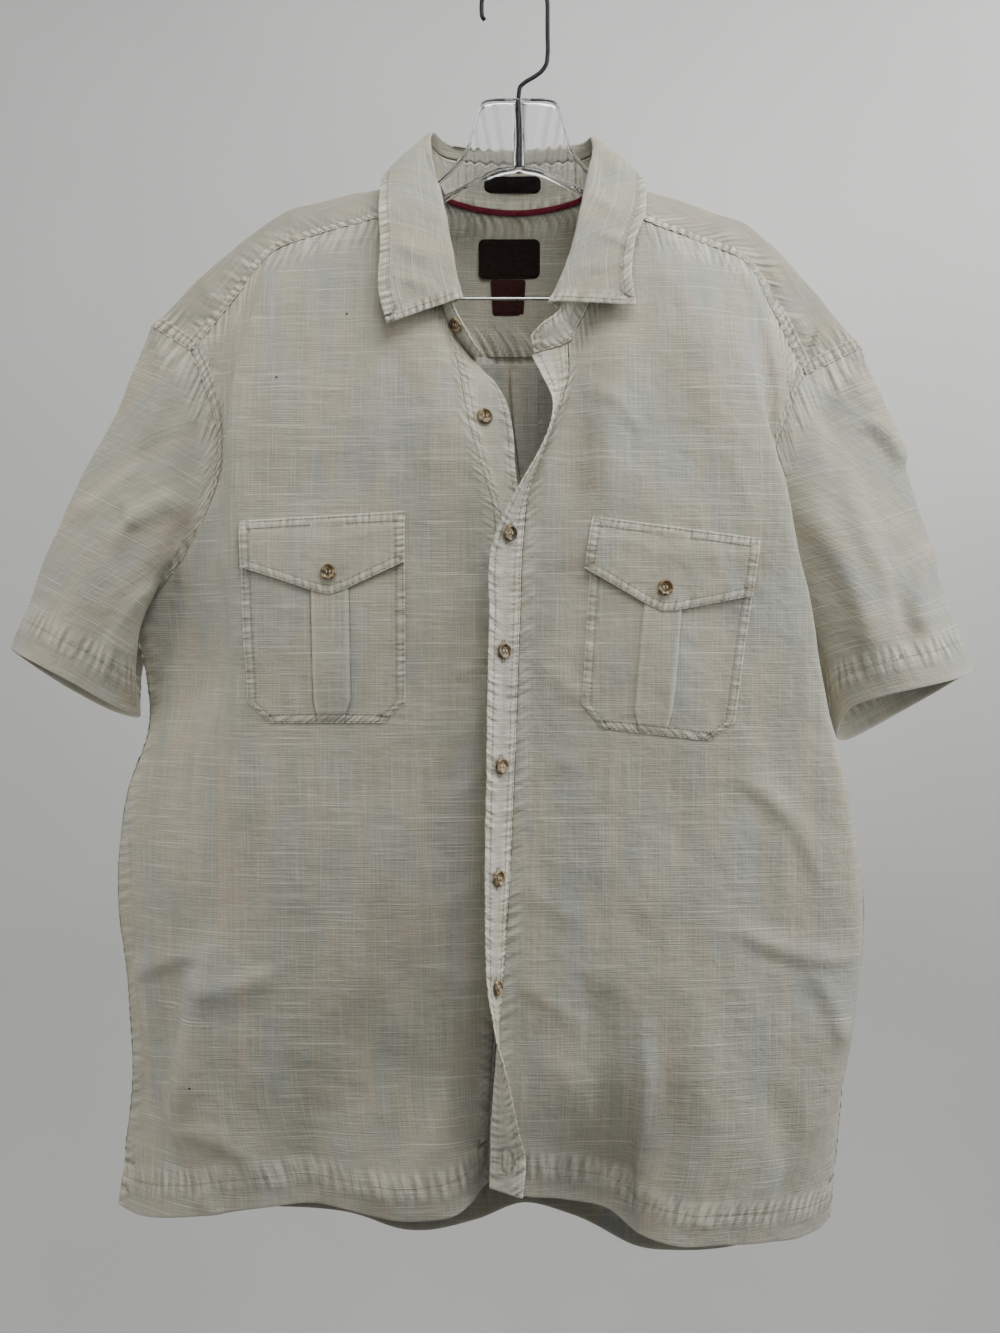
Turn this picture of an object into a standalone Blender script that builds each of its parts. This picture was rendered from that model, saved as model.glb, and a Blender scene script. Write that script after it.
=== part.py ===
"""A short-sleeved button-down shirt, hanging open at the neck on a clear hanger.

Metres, +Z up. The wearer faces -Y, so the wearer's left is +X. The origin is the inner top of the
hanger's hook, where a rail carries it. The tables below are in millimetres and give real places of
the cloth's mid-surface; MM turns them into metres when a mesh is made.
"""

import math
from collections import namedtuple

import bmesh
import bpy
import numpy as np
from mathutils import Vector

MM = 0.001

# Sizes of the cloth and its trimmings, in millimetres
WALL = 1.2
COLLAR_WALL = 1.8
LABEL_WALL = 1.0
SEAM_GAP = 0.3
SIDE_GAP = 2.2
UPPER_BAND_SHIFT = 1.7
LOWER_BAND_SHIFT = 1.2
STAND_LIFT = 2.0
ROLL_HALF = 1.6
LEAF_BOW = 2.0
SLEEVE_GAP = 2.2
SLEEVE_FULLNESS = 0.25
BUTTON_RADIUS = 6.3
BUTTON_THICK = 2.6
POCKET_WALL = 1.0
POCKET_CHAMFER = 17.0
POCKET_PLEAT_SHARE = 0.155
POCKET_PLEAT_RISE = 1.2
FLAP_RISE = 4.0
FLAP_STEP = 1.4
FLAP_BELLY = 1.6
PLEAT_HALF = 19.0
BACK_PLEAT_DEPTH = 3.0
TAPE_RISE = 2.2
TAPE_WIDTH = 5.0
TAPE_LIFT = 1.0
YOKE_LABEL_LIFT = 0.7
STAND_LABEL_LIFT = 0.5

# Sizes of the hanger, in millimetres
HOOK_RADIUS = 27.0
WIRE_RADIUS = 1.8
HANGER_THICK = 8.0
SOCKET_X = 3.6
SOCKET_TOP = -103.5
SOCKET_FOOT = -158.0
BAR_RADIUS = 1.3
BAR_HALF = 178.0
BAR_Z = -265.0
BAR_TOP = -229.7
BAR_BEND = 6.0

# Armholes: down the front and down the back, from the yoke's corners to the arm pit
SeamRow = namedtuple("SeamRow", "x y z")
ARMHOLE_FRONT_RIGHT = (
    SeamRow(-261, -16, -311), SeamRow(-249, -24, -340), SeamRow(-238, -30, -380),
    SeamRow(-242, -32, -428), SeamRow(-271, -20, -487), SeamRow(-309, -4, -527),
)
ARMHOLE_BACK_RIGHT = (
    SeamRow(-264, 29, -385), SeamRow(-262, 24, -440), SeamRow(-283, 12, -490), SeamRow(-309, -4, -527),
)
ARMHOLE_FRONT_LEFT = (
    SeamRow(234, -16, -330), SeamRow(225, -23, -350), SeamRow(211, -26, -382),
    SeamRow(205, -20, -430), SeamRow(213, -9, -502), SeamRow(236, -2, -545),
)
ARMHOLE_BACK_LEFT = (
    SeamRow(240, 30, -395), SeamRow(230, 25, -450), SeamRow(229, 12, -505), SeamRow(236, -2, -545),
)

# Cuffs, by station round the sleeve: over the shoulder, down the front, the arm pit, up the back.
# The out column swells the sleeve away from the body half way down
CuffRow = namedtuple("CuffRow", "place out x y z")
CUFF_RIGHT = (
    CuffRow("shoulder top", 0, -417, 14, -551), CuffRow("front yoke corner", 0, -402, -8, -557),
    CuffRow("front, high", 0, -380, -20, -567), CuffRow("front, middle", 20, -356, -26, -579),
    CuffRow("front, low", 62, -334, -24, -592), CuffRow("front, above the arm pit", 70, -316, -16, -602),
    CuffRow("arm pit", 45, -308, 2, -606), CuffRow("back, above the arm pit", 45, -316, 18, -608),
    CuffRow("back, low", 15, -338, 30, -602), CuffRow("back yoke corner", 0, -366, 34, -588),
    CuffRow("back, high", 0, -392, 32, -572), CuffRow("behind the shoulder top", 0, -410, 24, -558),
)
CUFF_LEFT = (
    CuffRow("shoulder top", 0, 378, 14, -570), CuffRow("front yoke corner", 0, 362, -12, -575),
    CuffRow("front, high", 0, 340, -24, -580), CuffRow("front, middle", 0, 316, -30, -585),
    CuffRow("front, low", 15, 292, -28, -591), CuffRow("front, above the arm pit", 50, 272, -16, -600),
    CuffRow("arm pit", 20, 266, 4, -620), CuffRow("back, above the arm pit", 15, 276, 22, -627),
    CuffRow("back, low", 5, 300, 34, -617), CuffRow("back yoke corner", 0, 328, 38, -602),
    CuffRow("back, high", 0, 352, 34, -588), CuffRow("behind the shoulder top", 0, 370, 26, -576),
)

# Side seams from the arm pit to the hem
SIDE_RIGHT = (
    SeamRow(-309, -4, -527), SeamRow(-300, -4, -570), SeamRow(-297, -4, -614),
    SeamRow(-314, -4, -665), SeamRow(-323, -4, -745), SeamRow(-315, -2, -826),
    SeamRow(-312, 0, -904), SeamRow(-318, 0, -962), SeamRow(-323, -3, -1005),
)
SIDE_LEFT = (
    SeamRow(236, -2, -545), SeamRow(244, -3, -580), SeamRow(257, -4, -636),
    SeamRow(273, -5, -690), SeamRow(284, -5, -755), SeamRow(281, -5, -815),
    SeamRow(271, -5, -869), SeamRow(264, -5, -935), SeamRow(257, -5, -1015),
)

# Front seams of the yoke, from the neck point out to the armhole
YOKE_SEAM_RIGHT = (
    SeamRow(-84, -40, -201), SeamRow(-104, -38, -207), SeamRow(-164, -27, -221),
    SeamRow(-195, -21, -232), SeamRow(-222, -19, -264), SeamRow(-261, -16, -311),
)
YOKE_SEAM_LEFT = (
    SeamRow(84, -40, -203), SeamRow(104, -38, -211), SeamRow(150, -28, -226),
    SeamRow(187, -21, -241), SeamRow(208, -20, -278), SeamRow(234, -16, -330),
)

# Neckline down each front, from the neck point to the band
NECKLINE_RIGHT = (
    SeamRow(-84, -40, -201), SeamRow(-73, -50, -240), SeamRow(-62, -55, -270), SeamRow(-52, -56, -300),
)
NECKLINE_LEFT = (
    SeamRow(84, -40, -203), SeamRow(73, -52, -244), SeamRow(58, -57, -281), SeamRow(42, -60, -312),
)

# Where the band is sewn on each front, and the fold of the front's side
EdgeRow = namedtuple("EdgeRow", "x y z")
BAND_SEAM_RIGHT = (
    EdgeRow(-52, -56, -300), EdgeRow(-43, -66, -340), EdgeRow(-36, -75, -378),
    EdgeRow(-27, -78, -410), EdgeRow(-18, -77, -440), EdgeRow(-14, -74, -475),
    EdgeRow(-13, -71, -560), EdgeRow(-13, -70, -700), EdgeRow(-15, -68, -820),
    EdgeRow(-20, -58, -900), EdgeRow(-22, -50, -974),
)
BAND_SEAM_LEFT = (
    EdgeRow(42, -60, -312), EdgeRow(42, -64, -338), EdgeRow(36, -68, -360),
    EdgeRow(21, -72, -400), EdgeRow(11, -77, -430), EdgeRow(7, -81, -462),
    EdgeRow(4, -84, -530), EdgeRow(0, -86, -640), EdgeRow(-5, -87, -746),
    EdgeRow(-10, -87, -816), EdgeRow(-15, -87, -870), EdgeRow(-19, -86, -920), EdgeRow(-20, -84, -969),
)
SIDE_FOLD_RIGHT = (
    EdgeRow(-195, -21, -232), EdgeRow(-213, -36, -285), EdgeRow(-227, -50, -357),
    EdgeRow(-229, -56, -410), EdgeRow(-221, -62, -467), EdgeRow(-218, -66, -592),
    EdgeRow(-226, -70, -748), EdgeRow(-250, -68, -826), EdgeRow(-268, -64, -904),
    EdgeRow(-260, -62, -998),
)
SIDE_FOLD_LEFT = (
    EdgeRow(187, -21, -241), EdgeRow(190, -40, -285), EdgeRow(197, -54, -332),
    EdgeRow(206, -60, -390), EdgeRow(216, -62, -451), EdgeRow(228, -60, -500),
    EdgeRow(236, -58, -550), EdgeRow(246, -56, -607), EdgeRow(262, -54, -743),
    EdgeRow(258, -56, -830), EdgeRow(240, -62, -905), EdgeRow(196, -68, -1016),
)

# How far each front swells between its band and side fold, and beyond the fold, by height
SwellRow = namedtuple("SwellRow", "z belly side")
SWELL_RIGHT = (
    SwellRow(-300, 2, 0), SwellRow(-410, 6, -4), SwellRow(-470, 8, -10), SwellRow(-527, 10, -13),
    SwellRow(-614, 12, -3), SwellRow(-745, 14, 8), SwellRow(-826, 14, -4), SwellRow(-904, 14, -12),
    SwellRow(-1005, 14, -8),
)
SWELL_LEFT = (
    SwellRow(-300, 2, 0), SwellRow(-390, 6, -6), SwellRow(-451, 8, -8), SwellRow(-500, 8, -6),
    SwellRow(-560, 8, -3), SwellRow(-640, 8, 3), SwellRow(-745, 8, 7), SwellRow(-905, 10, 8),
    SwellRow(-1015, 8, 6),
)

# Hems, from the band to the side seam
HEM_RIGHT = (
    SeamRow(-22, -50, -974), SeamRow(-48, -80, -990), SeamRow(-89, -86, -994),
    SeamRow(-113, -84, -990), SeamRow(-152, -74, -985), SeamRow(-200, -76, -987),
    SeamRow(-260, -62, -998), SeamRow(-301, -28, -1006), SeamRow(-323, -3, -1005),
)
HEM_LEFT = (
    SeamRow(-20, -84, -969), SeamRow(6, -74, -978), SeamRow(36, -64, -983), SeamRow(72, -64, -992),
    SeamRow(94, -80, -1005), SeamRow(124, -88, -1012), SeamRow(158, -82, -1013),
    SeamRow(196, -68, -1016), SeamRow(240, -28, -1019), SeamRow(257, -5, -1015),
)

# Free edges of the two bands. The upper band stands up, and its foot has flipped over outwards
BAND_EDGE_LEFT = (
    EdgeRow(13, -63, -322), EdgeRow(22, -74, -342), EdgeRow(28, -82, -356),
    EdgeRow(25, -93, -385), EdgeRow(14, -98, -408), EdgeRow(4, -99, -425), EdgeRow(-7, -98, -445),
    EdgeRow(-17, -97, -470), EdgeRow(-20, -101, -530), EdgeRow(-22, -106, -640),
    EdgeRow(-23, -110, -746), EdgeRow(-21, -114, -812), EdgeRow(-15, -116, -845),
    EdgeRow(-6, -114, -880), EdgeRow(2, -107, -918), EdgeRow(7, -101, -942), EdgeRow(5, -102, -972),
)
BAND_EDGE_RIGHT = (
    EdgeRow(-32, -49, -328), EdgeRow(-18, -54, -340), EdgeRow(-9, -60, -354),
    EdgeRow(-2, -64, -380), EdgeRow(0, -66, -410), EdgeRow(4, -68, -440), EdgeRow(11, -70, -475),
    EdgeRow(16, -70, -560), EdgeRow(16, -69, -700), EdgeRow(14, -66, -820),
    EdgeRow(4, -44, -900), EdgeRow(0, -34, -972),
)

# Back of the shirt: seam under the yoke and hem, from the wearer's right to left
YOKE_BACK = (
    SeamRow(-264, 29, -385), SeamRow(-238, 36, -340), SeamRow(-190, 42, -310),
    SeamRow(-100, 46, -304), SeamRow(0, 48, -305), SeamRow(100, 46, -305),
    SeamRow(180, 42, -314), SeamRow(214, 37, -345), SeamRow(240, 30, -395),
)
HEM_BACK = (
    SeamRow(-323, -1, -1006), SeamRow(-296, 24, -1012), SeamRow(-210, 38, -1016),
    SeamRow(-140, 46, -1026), SeamRow(-74, 46, -1041), SeamRow(-30, 40, -1030),
    SeamRow(10, 38, -1017), SeamRow(50, 44, -1028), SeamRow(104, 50, -1054),
    SeamRow(157, 50, -1059), SeamRow(206, 34, -1043), SeamRow(240, 14, -1026), SeamRow(257, -3, -1014),
)
BackRow = namedtuple("BackRow", "z depth")
BACK_DEPTH = (
    BackRow(-305, 47), BackRow(-420, 50), BackRow(-560, 50), BackRow(-700, 48),
    BackRow(-850, 44), BackRow(-1015, 36),
)

# How square the back's level sections are: 2 is an ellipse, more is squarer
RoundRow = namedtuple("RoundRow", "z power")
BACK_ROUNDNESS = (
    RoundRow(-380, 2.6), RoundRow(-480, 1.7), RoundRow(-560, 1.7), RoundRow(-700, 2.4), RoundRow(-1015, 2.6),
)

# The collar, by station from the wearer's right front round the back of the neck to the left front:
# neck seam, top of the stand (where the leaf is sewn on), roll line and free edge of the leaf
CollarRow = namedtuple("CollarRow", "place seam top roll edge")
COLLAR = (
    CollarRow("right end", (-52, -54, -298), (-48, -64, -282), (-44, -66, -279), (-100, -73, -299)),
    CollarRow("right front", (-62, -55, -270), (-54, -58, -252), (-50, -60, -246), (-107, -70, -270)),
    CollarRow("right, middle", (-73, -50, -240), (-62, -45, -216), (-57, -45, -208), (-106, -62, -234)),
    CollarRow("right neck point", (-84, -40, -201), (-71, -30, -174), (-65, -28, -166), (-108, -47, -196)),
    CollarRow("right side", (-74, 0, -166), (-72, -2, -140), (-69, -2, -131), (-104, -6, -164)),
    CollarRow("right back", (-52, 34, -178), (-55, 33, -142), (-53, 32, -131), (-76, 50, -172)),
    CollarRow("back", (0, 46, -184), (0, 45, -144), (0, 44, -133), (0, 62, -182)),
    CollarRow("left back", (52, 34, -178), (55, 33, -143), (54, 32, -132), (76, 50, -172)),
    CollarRow("left side", (74, 0, -167), (70, -3, -146), (65, -4, -137), (102, -8, -168)),
    CollarRow("left neck point", (84, -40, -203), (66, -32, -184), (59, -31, -178), (104, -47, -202)),
    CollarRow("left, middle", (73, -52, -244), (57, -50, -229), (51, -51, -223), (94, -63, -232)),
    CollarRow("left front", (58, -57, -281), (46, -60, -263), (41, -62, -258), (91, -70, -260)),
    CollarRow("left end", (49, -58, -298), (34, -65, -286), (30, -67, -282), (94, -73, -285)),
)

# The stand's ends, which run on past the leaf
EndRow = namedtuple("EndRow", "seam top")
STAND_END_RIGHT = (EndRow((-32, -48, -326), (-28, -66, -319)),)
STAND_END_LEFT = (EndRow((42, -60, -311), (21, -68, -297)), EndRow((15, -63, -321), (12, -66, -307)))

# Ridge of the yoke over the hanger, from the neck out to the shoulder top
RidgeRow = namedtuple("RidgeRow", "x y z")
RIDGE_RIGHT = (
    RidgeRow(-74, 0, -166), RidgeRow(-103, 0, -174), RidgeRow(-150, 0, -184), RidgeRow(-182, 0, -192),
    RidgeRow(-213, 1, -211), RidgeRow(-244, 2, -236), RidgeRow(-297, 4, -287),
)
RIDGE_LEFT = (
    RidgeRow(74, 0, -166), RidgeRow(103, 0, -176), RidgeRow(157, 0, -193), RidgeRow(190, 0, -206),
    RidgeRow(219, 1, -231), RidgeRow(249, 2, -263), RidgeRow(284, 4, -305),
)

# Soft folds of the cloth: where the crest lies at two heights, its height and half-width
FoldRow = namedtuple("FoldRow", "x_top z_top x_foot z_foot height half_width")
FOLDS_RIGHT = (
    FoldRow(-88, -660, -47, -985, 5, 16),
    FoldRow(-150, -720, -160, -960, -4, 26),
    FoldRow(-276, -560, -285, -800, 4, 14),
)
FOLDS_LEFT = (
    FoldRow(62, -820, 78, -1010, -6, 20),
    FoldRow(150, -700, 130, -1000, 4, 30),
    FoldRow(60, -330, 40, -440, -4, 16),
)
FOLDS_BACK = (
    FoldRow(-160, -420, -200, -1000, 7, 26),
    FoldRow(-80, -480, -100, -1030, 6, 24),
    FoldRow(90, -480, 105, -1030, 7, 26),
    FoldRow(170, -430, 190, -1000, 6, 24),
    FoldRow(0, -520, 0, -1020, -6, 30),
)

# Buttons down the front, by height. The first is undone and sits on the lower band
ButtonRow = namedtuple("ButtonRow", "band across z lift")
FRONT_BUTTONS = (
    ButtonRow("lower", 0.38, -371, 0.4), ButtonRow("upper", 0.52, -463, 1.2),
    ButtonRow("upper", 0.52, -554, 0.4), ButtonRow("upper", 0.52, -642, 0.4),
    ButtonRow("upper", 0.52, -728, 0.4), ButtonRow("upper", 0.52, -811, 0.4),
)
COLLAR_BUTTON = (0.05, 0.55)
FLAP_BUTTON_DOWN = 0.72

PocketRow = namedtuple("PocketRow", "side top_in top_out foot_in foot_out flap_in flap_out flap_point")
POCKETS = (
    PocketRow("right", (-86, -449), (-215, -456), (-85, -610), (-208, -610),
              (-86, -485), (-212, -489), (-144, -512)),
    PocketRow("left", (60, -454), (191, -470), (50, -612), (168, -626),
              (53, -490), (184, -511), (113, -525)),
)

LabelRow = namedtuple("LabelRow", "name x_low x_high z_low z_high")
YOKE_LABELS = (
    LabelRow("label_main", -30, 22, -239, -206),
    LabelRow("label_size", -20, 10, -270, -240),
)
STAND_LABEL = LabelRow("label_stand", -25.4, 22.6, -167.5, -153.5)

# Hanger, on either side of its middle: the bell above the arms, then the arms. An arm's top follows
# the yoke that hangs on it, dropped by the last column
BellRow = namedtuple("BellRow", "x z")
HANGER_BELL = (
    BellRow(0, -101.5), BellRow(22, -102), BellRow(31, -105), BellRow(36, -120), BellRow(42, -140),
    BellRow(50, -152), BellRow(62, -164),
)
ArmRow = namedtuple("ArmRow", "x drop")
ARM_TOP = (
    ArmRow(80, 2), ArmRow(100, 0), ArmRow(120, 0), ArmRow(140, 0), ArmRow(160, 0), ArmRow(176, 0),
    ArmRow(187, 3), ArmRow(192, 9),
)
ARM_FOOT = (
    BellRow(190, -226), BellRow(174, -230), BellRow(140, -216), BellRow(100, -202), BellRow(60, -185),
    BellRow(38, -173.5), BellRow(18, -164.5),
)
ARCH_TOP = -161.0

COLOURS = {
    "cloth": (0.60, 0.60, 0.54, 0.9, 0.0),
    "button": (0.42, 0.33, 0.20, 0.35, 0.0),
    "tape": (0.16, 0.02, 0.04, 0.8, 0.0),
    "label": (0.05, 0.03, 0.025, 0.7, 0.0),
    "clear_plastic": (0.85, 0.88, 0.88, 0.1, 0.0),
    "hook_wire": (0.05, 0.05, 0.055, 0.4, 0.9),
    "bar_wire": (0.60, 0.60, 0.60, 0.3, 1.0),
}


def hermite(knots, values, at):
    """Smooth curve through values at rising knots, read at the array at, by cubic Hermite pieces."""
    knots = np.asarray(knots, float)
    values = np.asarray(values, float)
    steps = np.diff(knots)
    rises = np.diff(values, axis=0) / steps.reshape((-1,) + (1,) * (values.ndim - 1))
    slopes = np.empty_like(values)
    slopes[0], slopes[-1] = rises[0], rises[-1]
    before = steps[:-1].reshape((-1,) + (1,) * (values.ndim - 1))
    after = steps[1:].reshape(before.shape)
    slopes[1:-1] = (rises[:-1] * after + rises[1:] * before) / (before + after)
    at = np.clip(np.asarray(at, float), knots[0], knots[-1])
    piece = np.clip(np.searchsorted(knots, at, side="right") - 1, 0, len(steps) - 1)
    width = steps[piece]
    t = (at - knots[piece]) / width
    shape = at.shape + (1,) * (values.ndim - 1)
    t, width = t.reshape(shape), width.reshape(shape)
    return (
        values[piece] * (2 * t**3 - 3 * t**2 + 1)
        + slopes[piece] * width * (t**3 - 2 * t**2 + t)
        + values[piece + 1] * (3 * t**2 - 2 * t**3)
        + slopes[piece + 1] * width * (t**3 - t**2)
    )


def along(rows, t):
    """Point at the share t of the way along a curve through the rows, by chord length."""
    points = np.array([tuple(row)[-3:] for row in rows], float)
    knots = np.concatenate([[0], np.cumsum(np.linalg.norm(np.diff(points, axis=0), axis=1))])
    return hermite(knots / knots[-1], points, t)


def down(rows, v):
    """Point at the share v of the drop from the first row's height to the last row's."""
    points = np.array([tuple(row)[-3:] for row in rows], float)
    heights = points[0, 2] - points[:, 2]
    return hermite(heights / heights[-1], points, v)


def by_height(rows, z):
    """The columns after the height z, read at the height z."""
    table = np.array([tuple(row) for row in rows], float)
    return hermite(-table[:, 0], table[:, 1:], -np.asarray(z, float))


def smooth_step(t):
    t = np.clip(t, 0, 1)
    return t * t * (3 - 2 * t)


def folded(points, folds):
    """Points moved towards -Y by soft folds: each a bell across a crest line that fades at its ends."""
    moved = points.copy()
    for fold in folds:
        share = (fold.z_top - points[..., 2]) / (fold.z_top - fold.z_foot)
        crest = fold.x_top + (fold.x_foot - fold.x_top) * share
        fade = smooth_step(share * 4 + 0.5) * smooth_step((1.4 - share) * 4)
        bell = np.exp(-(((points[..., 0] - crest) / fold.half_width) ** 2))
        moved[..., 1] -= fold.height * fade * bell
    return moved


def at_station(points, s):
    """Smooth curve through points that are one station apart."""
    return hermite(np.arange(len(points)), np.array(points, float), s)


NECK_SIDE = 0.3 + 0.4 / 6
BACK_TURN = 0.15
ACROSS = (0.0, 0.22, 0.44, 0.66, 0.78, 0.89, 1.0)
SIDE_BULGE = (0.0, 0.9, 0.5, 0.0)
Front = namedtuple("Front", "band_seam side_fold armhole side neckline yoke_seam hem swell folds")
FRONTS = {
    "right": Front(BAND_SEAM_RIGHT, SIDE_FOLD_RIGHT, ARMHOLE_FRONT_RIGHT, SIDE_RIGHT,
                   NECKLINE_RIGHT, YOKE_SEAM_RIGHT, HEM_RIGHT, SWELL_RIGHT, FOLDS_RIGHT),
    "left": Front(BAND_SEAM_LEFT, SIDE_FOLD_LEFT, ARMHOLE_FRONT_LEFT, SIDE_LEFT,
                  NECKLINE_LEFT, YOKE_SEAM_LEFT, HEM_LEFT, SWELL_LEFT, FOLDS_LEFT),
}


def front_section(front, u, v):
    """Level section of a front: flat from the band to the side fold, then back to the side seam."""
    inner = down(front.band_seam, v)
    fold = down(front.side_fold, v)
    outer = down(front.armhole + front.side[1:], v)
    swell = by_height(front.swell, fold[..., 2])
    belly, side = swell[..., 0:1], swell[..., 1:2]
    forward = np.array([0.0, -1.0, 0.0])
    level = (outer - fold) * np.array([1.0, 1.0, 0.0])
    length = np.maximum(np.linalg.norm(level, axis=-1, keepdims=True), 1e-6)
    sign = np.sign(outer[..., 0:1])
    outward = np.stack([-level[..., 1], level[..., 0], np.zeros_like(level[..., 0])], -1) / length * -sign
    stations = []
    for share in (0.0, 1 / 3, 2 / 3):
        stations.append(inner + (fold - inner) * share + forward * belly * 4 * share * (1 - share))
    for share, bulge in zip((0.0, 1 / 3, 2 / 3, 1.0), SIDE_BULGE):
        stations.append(fold + (outer - fold) * share + outward * side * bulge)
    return across_stations(stations, u)


def across_stations(stations, u):
    """Hermite curve across seven stations that vary along the other way of the surface."""
    net = np.stack(stations, 0)
    knots = np.array(ACROSS)
    steps = np.diff(knots)
    rises = np.diff(net, axis=0) / steps.reshape(-1, *([1] * (net.ndim - 1)))
    slopes = np.concatenate([rises[:1], rises, rises[-1:]])
    slopes = (slopes[:-1] + slopes[1:]) / 2
    piece = np.clip(np.searchsorted(knots, u, side="right") - 1, 0, len(steps) - 1)
    t = ((u - knots[piece]) / steps[piece])[..., None]
    width = steps[piece][..., None]

    def pick(table, index):
        return np.take_along_axis(table, index[None, ..., None], 0)[0]

    return (
        pick(net, piece) * (2 * t**3 - 3 * t**2 + 1)
        + pick(slopes, piece) * width * (t**3 - 2 * t**2 + t)
        + pick(net, piece + 1) * (3 * t**2 - 2 * t**3)
        + pick(slopes, piece + 1) * width * (t**3 - t**2)
    )


def front_top(front, u):
    """Top edge of a front: the neckline up to the neck point, then the yoke seam to the armhole."""
    turn = ACROSS[2]
    neck = along(front.neckline[::-1], np.clip(u / turn, 0, 1))
    seam = along(front.yoke_seam, np.clip((u - turn) / (1 - turn), 0, 1))
    return np.where((u < turn)[..., None], neck, seam)


def front_surface(side):
    """Mid-surface of one front: u runs from the band to the side, v from the top edge to the hem."""
    front = FRONTS[side]

    def surface(u, v):
        points = front_section(front, u, v)
        top = front_top(front, u) - front_section(front, u, np.zeros_like(v))
        foot = along(front.hem, u) - front_section(front, u, np.ones_like(v))
        points = points + top * (1 - smooth_step(v / 0.3))[..., None]
        points = points + foot * (1 - smooth_step((1 - v) / 0.16))[..., None]
        return folded(points, front.folds)

    return surface


BANDS = {
    "upper": (BAND_SEAM_LEFT, BAND_EDGE_LEFT, UPPER_BAND_SHIFT),
    "lower": (BAND_SEAM_RIGHT, BAND_EDGE_RIGHT, LOWER_BAND_SHIFT),
}


def band_surface(seam, edge, seam_shift):
    """Strip between the band's seam and its free edge. seam_shift keeps it off the front."""

    def surface(u, v):
        start, end = down(seam, v), down(edge, v)
        reach = np.linalg.norm(end - start, axis=-1, keepdims=True)
        return start + (end - start) * (seam_shift / reach + u[..., None] * (1 - seam_shift / reach))

    return surface


def back_surface(u, v):
    """Mid-surface of the back: u runs from the wearer's right side to the left, slowest at the sides."""
    right = down(ARMHOLE_BACK_RIGHT + SIDE_RIGHT[1:], v)
    left = down(ARMHOLE_BACK_LEFT + SIDE_LEFT[1:], v)
    right[..., 1] += SIDE_GAP
    left[..., 1] += SIDE_GAP
    near = np.minimum(u, 1 - u)
    slope = 1 / (1 - BACK_TURN)
    share = np.where(near < BACK_TURN, near**2 * slope / (2 * BACK_TURN), 0.5 - (0.5 - near) * slope)
    share = np.where(u < 0.5, share, 1 - share)
    points = right + (left - right) * share[..., None]
    depth = by_height(BACK_DEPTH, points[..., 2])[..., 0]
    power = by_height(BACK_ROUNDNESS, points[..., 2])[..., 0]
    swell = (1 - np.abs(2 * share - 1) ** power) ** (1 / power)
    points[..., 1] += (depth - points[..., 1]) * swell
    return points


def back_shaped(u, v):
    """The back with its yoke seam, hem, box pleat and soft folds."""
    points = back_surface(u, v)
    top = along(YOKE_BACK, u) - back_surface(u, np.zeros_like(v))
    foot = along(HEM_BACK, u) - back_surface(u, np.ones_like(v))
    points = points + top * (1 - smooth_step(v / 0.35))[..., None]
    points = points + foot * (1 - smooth_step((1 - v) / 0.2))[..., None]
    pleat = smooth_step((PLEAT_HALF + 3 - np.abs(points[..., 0])) / 5)
    points[..., 1] += BACK_PLEAT_DEPTH * pleat * (1 - smooth_step(v / 0.75))
    return folded(points, FOLDS_BACK)


def yoke_start(u):
    """Front edge of the yoke: right shoulder, neck point, neck seam, left neck point, left shoulder."""
    neck = [row.seam for row in COLLAR[3:10]]
    right = along(YOKE_SEAM_RIGHT[::-1], np.clip(u / 0.3, 0, 1))
    round_neck = at_station(neck, np.clip((u - 0.3) / 0.4, 0, 1) * (len(neck) - 1))
    left = along(YOKE_SEAM_LEFT, np.clip((u - 0.7) / 0.3, 0, 1))
    return np.where((u < 0.3)[..., None], right, np.where((u > 0.7)[..., None], left, round_neck))


def yoke_ridge(u):
    """Top of the yoke's arch over the hanger; past the side of the neck, the neck seam itself."""
    outside = np.clip((0.3 - np.minimum(u, 1 - u)) / 0.3, 0, 1)
    beside = np.clip((NECK_SIDE - np.minimum(u, 1 - u)) / (NECK_SIDE - 0.3), 0, 1)
    reach = 0.08 * beside + 0.92 * outside
    crest = np.where((u < 0.5)[..., None], along(RIDGE_RIGHT, reach), along(RIDGE_LEFT, reach))
    return np.where((beside > 0)[..., None], crest, yoke_start(u)), beside


def yoke_surface(u, v):
    """The yoke: v runs from its front edge over the hanger's arm to the seam across the back."""
    start, end = yoke_start(u), along(YOKE_BACK, u)
    crest, beside = yoke_ridge(u)
    turn = 0.34 * beside + 1e-3
    first = (v / turn)[..., None]
    second = ((v - turn) / (1 - turn))[..., None]
    slope = (end - start) * np.array([0.6, 0.6, 0.15])
    rise = start + (crest - start) * first + bend(first, start, crest, slope * turn[..., None])
    fall = crest + (end - crest) * second
    fall = fall + bend_out(second, crest, end, slope * (1 - turn[..., None]) * 1.6)
    return np.where((v < turn)[..., None], rise, fall)


def bend(t, start, end, slope_end):
    """Hermite term that makes a straight run from start to end arrive with the slope slope_end."""
    return (slope_end - (end - start)) * (t**3 - t**2)


def bend_out(t, start, end, slope_start):
    """Hermite term that makes a straight run leave with the slope slope_start."""
    return (slope_start - (end - start)) * (t**3 - 2 * t**2 + t)


Sleeve = namedtuple("Sleeve", "cuff yoke_end front back side")
SLEEVES = {
    "right": Sleeve(CUFF_RIGHT, 0.0, ARMHOLE_FRONT_RIGHT, ARMHOLE_BACK_RIGHT, SIDE_RIGHT),
    "left": Sleeve(CUFF_LEFT, 1.0, ARMHOLE_FRONT_LEFT, ARMHOLE_BACK_LEFT, SIDE_LEFT),
}


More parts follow.
